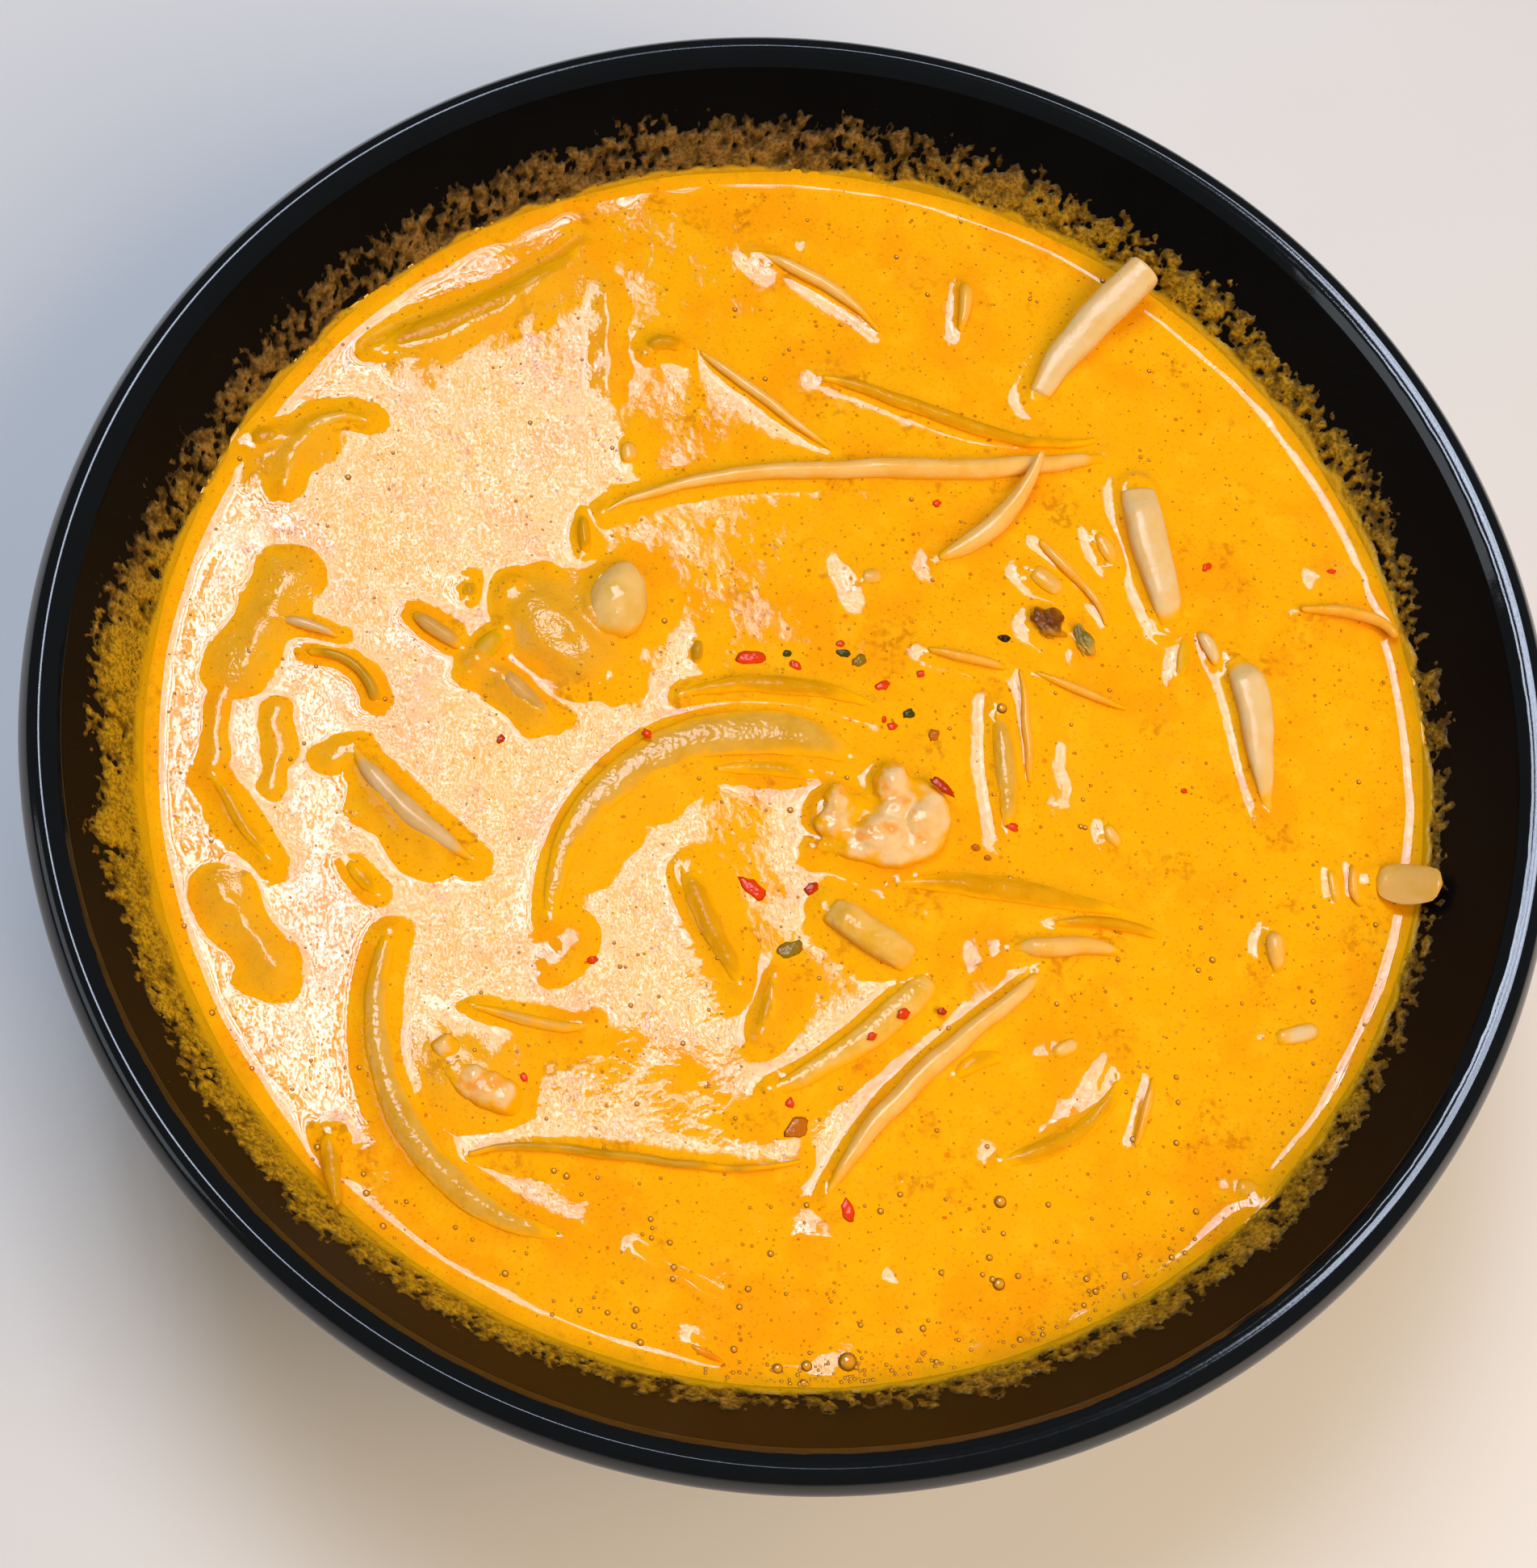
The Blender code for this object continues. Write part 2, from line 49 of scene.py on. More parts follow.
# -------- sizes, in mm
BOWL_HEIGHT = 78.0
LIP_RADIUS = 110.0
LIP_TOP_RADIUS = 106.7
INNER_EDGE = (104.0, 76.2)     # radius and height where the inner wall begins
FLOOR_TOP = 9.0
FLOOR_BOTTOM = 5.0
FLOOR_RADIUS = 38.0
FOOT_OUTER = 50.0
FOOT_INNER = 43.5
FOOT_FLAT = (44.5, 48.5)
FOOT_HEIGHT = 8.0
SOUP_LEVEL = 61.4
SOUP_RADIUS = 95.0
WALL_SLOPE = (INNER_EDGE[0] - SOUP_RADIUS) / (INNER_EDGE[1] - SOUP_LEVEL)

# The soup's surface: its open level, and how it climbs what it touches, as two eased rises.
OPEN_LEVEL = -0.8
STEEP_RISE, STEEP_REACH = 0.60, 0.9
BROAD_RISE, BROAD_REACH = 0.40, 2.0
# The soup's slope at the wall, over how many mm it sets in, and how far from the wall.
WALL_TILT, WALL_TURN, WALL_START = 0.50, 0.42, 2.15
CLIMB_SPAN = 14.0              # how far from a piece its climb is worked out
SKIN = 0.25                    # how far the soup stays under the top of a piece that is out of it
SOUP_OVERLAP = 0.6             # the soup's edge reaches this far into the wall
SOUP_GAP = 0.35                # between the soup's underside and the bowl
RESIDUE_FOOT = 0.9             # the dried soup begins this far below the soup's edge
RESIDUE_DEEP = 0.75            # its back lies this deep in the wall
LINE_STEP = 0.4                # between the points of a centre line
FLESH_CELL = 0.28              # of the grid that melts a shrimp's parts into one skin

# -------- pieces
# x, y: the middle of the centre line; heading: its direction there; bend: how far the heading
# turns over the length; hook: how far both ends turn the same way; start, end: the width there
# as a share of the greatest, which lies at the share `peak`.  Degrees, anticlockwise from above.
Piece = namedtuple("Piece", "kind x y heading length bend hook width start peak end")

# thick: thickness as a share of the width, up to `most`; top: how far a leaning piece's middle
# is lifted; swell: how strongly the soup rises round it; sides: of its section; lumps, wrinkles:
# how far the surface goes in and out over about 4 mm and over about 1 mm; thin: how much the
# section thins out to its sides, or how flat its top is if negative; cap: the rounding of its
# ends, in mm; film: up to which height over the soup's edge it's covered, in mm.
Kind = namedtuple("Kind", "thick most top swell sides lumps wrinkles thin cap film")

KINDS = {
    "pale_strip": Kind(0.78, 4.6, 0.5, 1.0, 40, 0.10, 0.02, -0.4, 0.5, 1.1),
    "sprout": Kind(0.90, 3.0, 0.5, 0.9, 26, 0.09, 0.02, 0.2, 1.0, 1.05),
    "root": Kind(0.90, 1.8, 0.4, 0.6, 20, 0.08, 0.02, 0.3, 0.9, 0.85),
    "onion": Kind(0.50, 1.7, 0.3, 0.8, 40, 0.10, 0.06, 0.7, 1.1, 0.85),
    "petal": Kind(0.42, 1.8, 0.3, 0.8, 34, 0.12, 0.03, 0.6, 1.1, 1.0),
    "leaf": Kind(0.30, 0.9, 0.3, 0.5, 20, 0.16, 0.03, 0.6, 1.0, 0.25),
}

PIECES = {
    "pale_strip_top": Piece("pale_strip", 45.3, 68.2, 50, 26.6, -21, 6, 6.0, .60, .80, .95),
    "pale_strip_right": Piece("pale_strip", 54.6, 30.9, -78, 22.6, 13, -1, 5.9, .95, .25, .70),
    "pale_strip_tapered": Piece("pale_strip", 69.5, 2.8, -79, 25.9, -18, 22, 5.3, .60, .25, .20),
    "pale_strip_torn": Piece("root", 62.9, 16.4, -64, 6.4, -20, 0, 2.2, .50, .50, .40),
    "leaf_tail": Piece("leaf", 58.6, 14.7, -101, 6.2, -16, 0, 1.9, .40, .55, .50),
    "sprout_long": Piece("sprout", 8.7, 43.3, 10, 79.3, -14, 21, 3.4, .30, .75, .55),
    "sprout_with_head": Piece("sprout", 31.4, 36.1, 48, 24.6, 49, 5, 3.4, .40, .27, .30),
    "sprout_curved": Piece("root", 25.1, 52.1, -11, 44.5, 27, 21, 2.4, .40, .35, .40),
    "sprout_diagonal": Piece("root", -4.8, 54.2, -38, 26.0, 4, -4, 1.8, .45, .40, .45),
    "sprout_upper": Piece("root", 4.2, 74.9, -33, 23.6, -29, -2, 2.2, .45, .35, .40),
    "sprout_low": Piece("sprout", 18.1, -50.3, -134, 46.0, 22, 10, 3.2, .60, .55, .40),
    "sprout_pair_low": Piece("sprout", 39.1, -31.3, 0, 16.9, -12, -10, 3.1, .40, .35, .50),
    "sprout_pair_high": Piece("root", 45.3, -27.6, -5, 15.7, -25, -3, 1.8, .45, .40, .80),
    "sprout_edge": Piece("root", 85.4, 23.1, -18, 16.0, -66, -19, 2.0, .45, .50, .70),
    "sprout_left": Piece("root", -53.3, 14.1, -36, 9.0, 15, 0, 2.4, .50, .50, .60),
    "sprout_left_end": Piece("root", -40.1, 4.3, -41, 11.2, 11, 0, 2.8, .70, .30, .40),
    "bean_large": Piece("sprout", -56.8, -13.8, -43, 24.8, 32, -4, 3.6, .30, .50, .25),
    "bean_top": Piece("sprout", -20.3, 63.0, 2, 6.6, -100, 0, 2.5, .60, .50, .50),
    "seed": Piece("sprout", 70.0, -31.1, -88, 7.0, 8, 0, 2.8, .45, .40, .40),
    "root_strand": Piece("root", 43.0, 26.7, -55, 17.3, -20, -20, 1.6, .80, .20, .50),
    "root_pale": Piece("root", 42.7, 8.4, -21, 14.7, 7, 0, 1.4, .50, .40, .45),
    "root_upright": Piece("root", 34.3, 2.7, -86, 18.2, 1, 12, 1.5, .45, .60, .60),
    "root_short": Piece("root", 49.6, -55.3, -105, 10.7, 1, 0, 1.4, .50, .50, .50),
    "root_curl": Piece("root", 82.7, -20.6, -78, 6.9, 49, 39, 1.5, .60, .50, .50),
    "root_hook": Piece("root", -65.3, 8.4, -36, 14.0, -88, -11, 1.6, .60, .85, 1.0),
    "strip_pale": Piece("root", -71.9, 14.1, -15, 9.3, -19, 0, 1.6, .50, .40, .45),
    "strip_upright": Piece("root", -32.1, 30.6, -87, 6.2, 9, 0, 2.0, .50, .50, .60),
    "strip_short": Piece("root", 25.6, 13.1, -11, 12.2, 1, 0, 1.6, .50, .50, .60),
    "strip_beaded": Piece("root", -22.9, -63.5, 0, 47.0, 1, 24, 1.4, .50, .30, .45),
    "strip_top_right": Piece("root", 26.6, 72.4, -97, 9.2, -11, 0, 2.2, .60, .30, .45),
    "onion_arc": Piece("onion", -21.0, -4.1, 31, 61.6, -118, 3, 6.8, .28, .80, .30),
    "onion_arc_left": Piece("onion", -55.0, -59.3, -59, 56.2, 98, 1, 4.2, .55, .65, .35),
    "onion_arc_small": Piece("onion", 39.3, -58.8, 36, 23.2, 58, 7, 2.8, .60, .40, .45),
    "onion_curl": Piece("onion", -73.7, 45.0, 44, 19.4, -113, -22, 2.4, .50, .50, .45),
    "onion_strip_top": Piece("onion", -47.6, 67.6, 32, 38.0, 27, 2, 4.6, .30, .25, .35),
    "onion_strip_high": Piece("onion", -2.8, 7.6, -1, 29.8, -36, 4, 2.8, .35, .50, .35),
    "onion_strip_steep": Piece("onion", -12.4, -30.0, -65, 18.9, 7, -6, 3.6, .80, .30, .50),
    "onion_strip_mid": Piece("onion", 8.5, -46.3, -144, 29.0, -24, -4, 4.5, .95, .12, .45),
    "onion_strip_right": Piece("onion", 31.7, -23.1, -6, 34.4, -12, 4, 3.6, .30, .40, .25),
    "onion_sliver_low": Piece("onion", -38.2, -44.4, -8, 16.6, 25, 14, 1.8, .40, .60, .50),
    "onion_sliver_mid": Piece("onion", -4.4, -41.2, -104, 9.6, 1, 0, 2.4, .50, .50, .50),
    "onion_petal_left": Piece("onion", -80.1, -15.8, -55, 15.9, 8, 0, 2.2, .45, .50, .45),
    "onion_petal_upright": Piece("onion", 30.9, -4.4, -87, 20.4, -8, 0, 3.4, .50, .40, .35),
    "onion_petal_wide": Piece("petal", -35.4, 13.8, -41, 19.6, 10, 0, 7.4, .60, .45, .50),
    "onion_petal_small": Piece("petal", 38.2, 26.4, -37, 6.4, -10, 0, 3.2, .60, .50, .60),
    "onion_petal_thin": Piece("petal", 25.6, -48.8, 21, 8.0, -47, 0, 2.3, .45, .50, .45),
    "onion_petal_edge": Piece("petal", -79.5, 44.0, 15, 6.0, -60, 0, 3.2, .50, .40, .45),
    "onion_petal_wall": Piece("petal", 90.2, -20.6, -13, 8.4, 0, 0, 6.4, .65, .50, .70),
    "onion_petal_pointed": Piece("petal", -64.3, -66.2, -80, 10.6, -4, 0, 2.6, .60, .25, .30),
    "onion_block": Piece("pale_strip", 10.4, -30.4, -33, 14.4, 2, 0, 5.0, .85, .50, .85),
    "leaf_green": Piece("leaf", -46.2, 11.2, -126, 8.8, 4, 0, 3.2, .50, .45, .40),
    "scrap_pale": Piece("petal", 47.5, 32.1, -66, 6.0, 0, 0, 2.4, .50, .50, .45),
}

# Heights over the soup of a leaning piece's centre line at its start and its end.
LEANING = {
    "pale_strip_top": (-0.8, 4.6),
    "sprout_with_head": (-0.7, 2.3),
    "onion_petal_wall": (0.0, 5.2),
    "onion_petal_pointed": (-0.2, 2.6),
    "sprout_edge": (-0.3, 0.9),
}
LEAN_POWER = 1.5

# Small bits that have no solid of their own.
BITS = {
    "bit_bean": Piece("root", -14.8, 12.6, -93, 4.1, 10, 0, 1.9, .55, .50, .55),
    "bit_middle": Piece("petal", 11.4, 25.8, 3, 3.9, 20, 0, 2.4, .60, .50, .50),
    "bit_high": Piece("petal", -25.7, 44.6, 98, 4.1, -20, 0, 2.6, .60, .50, .50),
    "bit_left": Piece("petal", -48.8, 21.0, 95, 2.6, 0, 0, 2.2, .50, .40, .70),
    "bit_carrot": Piece("root", -12.7, -90.2, -25, 5.5, 10, 0, 1.0, .40, .50, .40),
    "bit_right": Piece("petal", 72.8, -43.3, 12, 7.0, 6, 0, 2.6, .80, .50, .85),
    "bit_low": Piece("petal", 38.5, -46.2, 26, 4.6, 0, 0, 2.3, .70, .50, .60),
    "bit_flake": Piece("petal", 80.0, -20.7, -83, 5.8, 0, 0, 1.9, .50, .50, .50),
    "bit_edge": Piece("petal", 64.3, -66.2, -11, 4.5, -30, 0, 2.9, .50, .40, .50),
    "bit_lower_left": Piece("petal", -62.4, -24.2, -46, 6.9, 10, 0, 2.4, .50, .50, .40),
    "bit_torn": Piece("petal", 46.6, -14.0, -60, 4.4, 30, 0, 2.2, .50, .50, .50),
    "bit_arc_petal": Piece("petal", -4.8, -5.4, -3, 16.1, -24, 0, 2.4, .30, .55, .30),
}

# The pieces whose finish isn't their kind's own, by the finish they have instead.
FINISHED_AS = {
    "onion_pale": ("onion_block", "onion_strip_mid", "onion_curl"),
    "amber": (
        "onion_strip_high", "onion_strip_right", "onion_strip_top", "onion_strip_steep",
        "onion_sliver_mid", "onion_petal_left", "onion_petal_wide", "onion_petal_edge",
        "onion_petal_thin", "onion_petal_pointed", "onion_arc_small", "bit_arc_petal",
        "bit_lower_left", "bean_top", "sprout_curved", "sprout_pair_high", "strip_upright",
    ),
    "skin": ("strip_beaded", "bit_bean", "bit_left", "root_hook"),
    "bean": ("bean_large", "strip_pale"),
    "dull": ("onion_sliver_low", "sprout_left", "sprout_left_end"),
    "sprout": ("sprout_upper", "sprout_diagonal"),
    "pale_strip": ("pale_strip_torn", "bit_right", "bit_low", "bit_torn"),
    "chili": ("bit_carrot",),
}
FINISHES = {name: finish for finish, names in FINISHED_AS.items() for name in names}
# The material slot of each finish.
SLOTS = {"pale_strip": "pale_strip", "leaf": "leaf"}
SLOTS.update(dict.fromkeys(("sprout", "root", "bean", "dull", "skin", "chili"), "sprout"))
SLOTS.update(dict.fromkeys(("onion", "onion_pale", "petal", "amber"), "onion"))

# -------- lumps and shrimps
# out: how far a lump's top stands over the soup, in mm.
Lump = namedtuple("Lump", "x y length width height heading out")
ONION_CHUNK = Lump(-26.6, 20.1, 12.6, 10.6, 6.0, 78, 2.6)
MEAT_SCRAP = Lump(38.3, 19.2, 5.6, 4.4, 2.6, -30, 1.2)
GREEN_SCRAP = Lump(43.4, 16.6, 5.2, 2.4, 2.0, -68, 1.0)
SHRIMP_BODY = Piece("pale_strip", 15.8, -17.3, 46, 26.7, 186, 76, 5.4, .35, .55, .90)
SHRIMP_LUMPS = (
    Lump(13.8, -7.4, 7.0, 5.8, 4.6, 80, 2.7),
    Lump(10.4, -12.7, 17.6, 7.8, 3.6, -6, 1.1),
    Lump(5.6, -10.2, 5.2, 4.0, 3.4, 70, 2.1),
)
SMALL_SHRIMP = Piece("pale_strip", -44.9, -53.7, -32, 15.0, 38, -11, 5.4, .50, .62, .60)
# Flesh between and on the large shrimp's body and lumps, and on the small one's body.
SHRIMP_FLESH = (
    Lump(12.2, -15.4, 9.6, 6.8, 5.0, 12, 2.8),
    Lump(18.2, -13.2, 7.6, 6.2, 5.0, 65, 2.9),
    Lump(14.6, -11.6, 8.4, 6.4, 4.4, 40, 2.3),
    Lump(5.0, -13.6, 6.0, 4.4, 3.2, 20, 1.9),
    Lump(8.6, -11.4, 7.0, 5.4, 3.6, 10, 1.3),
    Lump(7.6, -15.4, 8.0, 4.4, 3.4, -10, 1.6),
)
SMALL_FLESH = (
    Lump(-44.2, -53.8, 9.0, 5.0, 4.2, -32, 1.7),
    Lump(-49.6, -48.4, 4.4, 4.0, 3.0, -20, 1.1),
)

# What lies just under the surface and lifts the soup to a ridge: x, y, length, width, heading,
# how high, and how much of its own tan shows through.
SUNK = (
    (-29.2, 63.6, 23.0, 6.4, -91, 0.8, 0.3),
    (-78.1, 14.5, 27.0, 11.0, -112, 1.2, 0.8),
    (-75.6, -4.9, 17.0, 5.0, -88, 0.6, 0.5),
    (-84.2, -2.2, 13.0, 4.6, -92, 0.5, 0.5),
    (-78.1, -32.1, 23.0, 9.6, -54, 1.1, 0.7),
    (-67.3, -5.9, 7.0, 5.4, 25, 0.7, 0.5),
    (82.5, 29.0, 10.5, 8.0, -9, 0.8, 0.2),
    (4.2, -74.0, 12.0, 9.0, -15, 0.5, 0.1),
    (-4.0, -42.2, 12.0, 6.0, -99, 0.5, 0.2),
    (40.5, -5.1, 15.0, 6.0, -86, 0.5, 0.2),
    (-16.9, -79.8, 17.0, 3.4, -24, 0.5, 0.2),
    (-46.5, -51.3, 22.0, 18.0, -20, 1.5, 0.5),
    (-34.2, 15.0, 23.5, 18.0, -46, 1.7, 1.0),
    (-56.8, -16.4, 20.0, 9.6, -43, 0.9, 0.3),
    (-43.2, 5.8, 19.0, 7.0, -42, 0.8, 0.7),
    (-76.0, 42.0, 18.0, 12.0, 30, 0.8, 0.6),
    (-46.0, 66.0, 40.0, 9.0, 34, 0.6, 0.5),
    (-33.0, -34.0, 12.0, 7.0, 50, 0.7, 0.2),
    (-28.5, -17.0, 18.0, 11.0, 60, 0.55, 0.2),
    (-19.5, -8.6, 16.0, 11.0, 34, 0.55, 0.2),
    (14.8, -80.9, 7.0, 5.0, 1, 0.4, 0.1),
    (6.0, -92.0, 10.0, 8.0, 24, 0.4, 0.0),
    (1.7, 82.7, 4.0, 3.6, 4, 0.4, 0.1),
    (26.8, -33.4, 7.0, 7.0, -5, 0.3, 0.1),
    (13.1, -65.9, 12.0, 3.4, 4, 0.3, 0.1),
    (9.0, 25.0, 12.0, 6.0, -60, 0.3, 0.1),
    (-5.0, 78.0, 10.0, 6.0, -50, 0.3, 0.1),
    (41.2, -53.4, 18.0, 4.0, 52, 0.3, 0.1),
)

# -------- flakes, bubbles, residue
RED = (0.78, 0.050, 0.0010)
DARK_RED = (0.50, 0.032, 0.0005)
BROWN = (0.52, 0.150, 0.004)
OLIVE = (0.26, 0.17, 0.004)
GREEN = (0.030, 0.055, 0.008)
BLACK_GREEN = (0.008, 0.013, 0.004)
# x, y, length, width, heading, colour
FLAKES = (
    (-7.0, 12.0, 5.0, 2.6, 10, RED),
    (-0.3, 11.1, 2.6, 1.4, -25, RED),
    (12.8, 8.4, 2.6, 1.6, 15, RED),
    (-6.6, -23.7, 5.6, 2.5, -38, RED),
    (2.0, -23.7, 2.8, 2.2, 40, DARK_RED),
    (14.2, 2.0, 1.8, 1.4, 0, RED),
    (6.8, -70.3, 4.4, 1.9, -70, RED),
    (-0.3, -58.7, 4.4, 3.0, 35, BROWN),
    (7.0, 13.4, 2.4, 1.4, -10, GREEN),
    (16.7, 4.1, 2.2, 1.6, 20, GREEN),
    (31.4, 16.8, 2.2, 1.4, -10, BLACK_GREEN),
    (-1.3, -55.1, 2.0, 1.4, -75, RED),
    (63.4, 30.0, 2.0, 1.4, 30, RED),
    (20.4, 0.8, 2.2, 1.8, 60, BROWN),
    (6.5, 14.9, 1.5, 1.2, 0, RED),
    (18.6, 10.5, 1.5, 1.3, 40, RED),
    (21.6, 38.6, 1.5, 1.3, 20, RED),
    (31.6, -13.3, 2.2, 1.6, -30, RED),
    (-29.5, -35.1, 1.8, 1.3, 10, RED),
    (-43.5, -2.2, 1.7, 1.2, 60, DARK_RED),
    (82.9, 30.0, 1.6, 1.0, 0, RED),
    (-38.7, -52.4, 1.6, 1.1, -60, RED),
    (-1.5, 13.0, 1.6, 1.2, 15, GREEN),
    (9.4, 12.2, 2.6, 2.0, 30, OLIVE),
    (-1.1, -32.7, 2.6, 4.6, -64, OLIVE),
    (13.0, 3.0, 1.3, 0.9, 70, RED),
    (58.0, -6.5, 1.2, 0.9, 0, RED),
    (26.3, -16.4, 1.5, 1.2, 0, BROWN),
    (28.0, -18.0, 1.2, 1.0, 0, BROWN),
)
# x, y, length, width, heading, colour, height over the soup: flakes that lie on a topping.
FLAKES_ON_TOP = (
    (20.9, -8.3, 5.0, 1.7, -42, DARK_RED, 2.7),
    (-22.3, -1.3, 2.0, 1.5, -60, RED, 1.35),
    (14.9, -42.3, 2.2, 1.8, 40, RED, 1.25),
    (10.3, -45.7, 1.8, 1.3, 30, RED, 1.25),
    (20.6, -41.5, 1.6, 1.2, 0, DARK_RED, 0.4),
)
# x, y and size of the bubbles that lie at a chosen place.
BUBBLES = (
    (6.6, -91.0, 1.35), (30.6, 5.2, 0.8), (-9.0, -89.5, 0.5), (1.0, -91.6, 0.8),
    (-3.0, -92.0, 0.75), (0.5, -94.0, 0.6), (28.0, -80.0, 0.9), (28.5, -68.5, 0.9),
)
EDGE_BUBBLES = 150             # how many more lie near the front edge,
ALL_BUBBLES = 1750             # and how many there are in all
# Azimuth in degrees, how many mm the dried soup reaches up the wall, how much of the wall it
# covers, and how yellow it is, from 0 for brown.
RESIDUE = (
    (-180, 12.3, 0.95, 0.90), (-173, 11.0, 0.95, 1.00), (-158, 11.5, 0.88, 1.00),
    (-144, 11.5, 0.88, 1.00), (-130, 10.8, 0.86, 1.00), (-117, 9.6, 0.80, 0.95),
    (-104, 8.2, 0.58, 0.72), (-91, 7.8, 0.52, 0.62), (-78, 8.4, 0.62, 0.66),
    (-64, 9.2, 0.76, 0.74), (-49, 8.8, 0.72, 0.74), (-36, 7.6, 0.58, 0.68),
    (-23, 6.4, 0.50, 0.58), (-12, 6.2, 0.48, 0.58), (0, 6.4, 0.48, 0.60),
    (14, 7.2, 0.50, 0.65), (27, 8.4, 0.56, 0.75), (40, 9.2, 0.62, 0.85),
    (60, 9.6, 0.72, 0.70), (76, 10.4, 0.76, 0.45), (91, 10.8, 0.70, 0.25),
    (107, 10.8, 0.66, 0.15), (123, 10.8, 0.54, 0.10), (139, 10.4, 0.54, 0.15),
    (155, 9.8, 0.60, 0.30), (171, 11.0, 0.80, 0.60), (177, 12.8, 0.98, 0.85),
    (180, 12.3, 0.95, 0.90),
)


# ======== shape helpers
def cloud(x, y, cell, seed, octaves=1):
    """Value noise from -1 to 1: random heights on a square lattice, joined by t*t*(3 - 2t), and
    added up over octaves of half the cell and half the strength, each turned another way."""
    total, weight, strength = np.zeros_like(x), 0.0, 1.0
    for octave in range(octaves):
        table = np.random.default_rng(seed + octave).uniform(-1.0, 1.0, (256, 256))
        turn = 0.6 + 2.4 * octave + 0.7 * seed
        u = (x * math.cos(turn) + y * math.sin(turn)) / cell
        v = (y * math.cos(turn) - x * math.sin(turn)) / cell
        i, j = np.floor(u).astype(int), np.floor(v).astype(int)
        a, b = u - i, v - j
        a, b = a * a * (3.0 - 2.0 * a), b * b * (3.0 - 2.0 * b)
        i0, j0, i1, j1 = i % 256, j % 256, (i + 1) % 256, (j + 1) % 256
        low = table[i0, j0] * (1.0 - a) + table[i1, j0] * a
        high = table[i0, j1] * (1.0 - a) + table[i1, j1] * a
        total += strength * (low * (1.0 - b) + high * b)
        weight += strength
        strength *= 0.5
        cell *= 0.5
    return total / weight


def ease(low, high, value):
    """0 up to low, 1 from high on, and t*t*(3 - 2t) between."""
    t = np.clip((value - low) / (high - low), 0.0, 1.0)
    return t * t * (3.0 - 2.0 * t)


def turned(x, y, a, b, heading):
    """The point (x, y) moved by a along the heading, in degrees, and by b to the left of it."""
    turn = math.radians(heading)
    return x + a * math.cos(turn) - b * math.sin(turn), y + a * math.sin(turn) + b * math.cos(turn)


def grid_faces(rows, columns, wrap):
    """Quads of a grid of points; with wrap the last column joins the first."""
    i = np.arange(rows - 1)[:, None]
    j = np.arange(columns if wrap else columns - 1)[None, :]
    k = (j + 1) % columns
    quads = [i * columns + j, i * columns + k, (i + 1) * columns + k, (i + 1) * columns + j]
    return np.stack([np.broadcast_to(q, (rows - 1, j.shape[1])) for q in quads], -1).reshape(-1, 4)


def fan(pole, ring, flip):
    """Triangles from one point to a closed ring of points."""
    after = np.roll(ring, -1)
    first, second = (after, ring) if flip else (ring, after)
    return np.stack([np.full_like(ring, pole), first, second], -1)


def capped(rings, flip=False):
    """Points and faces of a skin over rings of points, row after row, its two ends closed by
    fans round the middle of the first and the last ring."""
    rows, sides = rings.shape[:2]
    points = np.concatenate([rings.reshape(-1, 3), rings[[0, -1]].mean(1)])
    first = np.arange(sides)
    last = first + (rows - 1) * sides
    grid = grid_faces(rows, sides, True)
    ends = [fan(rows * sides, first, not flip), fan(rows * sides + 1, last, flip)]
    return points, [grid[:, ::-1] if flip else grid, *ends]


def put(name, data):
    """A new object in the scene."""
    obj = bpy.data.objects.new(name, data)
    bpy.context.scene.collection.objects.link(obj)
    return obj


def write_value(mesh, key, value):
    """One value, or one colour, for each point of the mesh."""
    kind, field = ("FLOAT_COLOR", "color") if value.ndim == 2 else ("FLOAT", "value")
    layer = mesh.attributes.new(key, kind, "POINT")
    layer.data.foreach_set(field, value.astype(np.float32).ravel())


class Heap:
    """Points, faces and values of pieces that become one mesh."""

    def __init__(self):
        self.points = []
        self.faces = []
        self.values = {}
        self.count = 0

    def add(self, points, faces, **values):
        self.points.append(points)
        self.faces += [face for part in faces for face in (part + self.count).tolist()]
        for key, value in values.items():
            self.values.setdefault(key, []).append(value)
        self.count += len(points)

    def build(self, name, material):
        mesh = bpy.data.meshes.new(name)
        mesh.from_pydata(np.concatenate(self.points) * MM, [], self.faces)
        for key, parts in self.values.items():
            write_value(mesh, key, np.concatenate(parts))
        mesh.shade_smooth()
        mesh.materials.append(material)
        return put(name, mesh)


# ======== centre lines
Line = namedtuple("Line", "x y z turn half_width half_height contact")


def width_share(piece, s):
    """Width at the share s of the length: two quarter sines, up to the peak and down again."""
    up = s < piece.peak
    low = np.where(up, piece.start, piece.end)
    t = np.where(up, s / piece.peak, (1.0 - s) / (1.0 - piece.peak))
    return low + (1.0 - low) * np.sin(0.5 * np.pi * t)


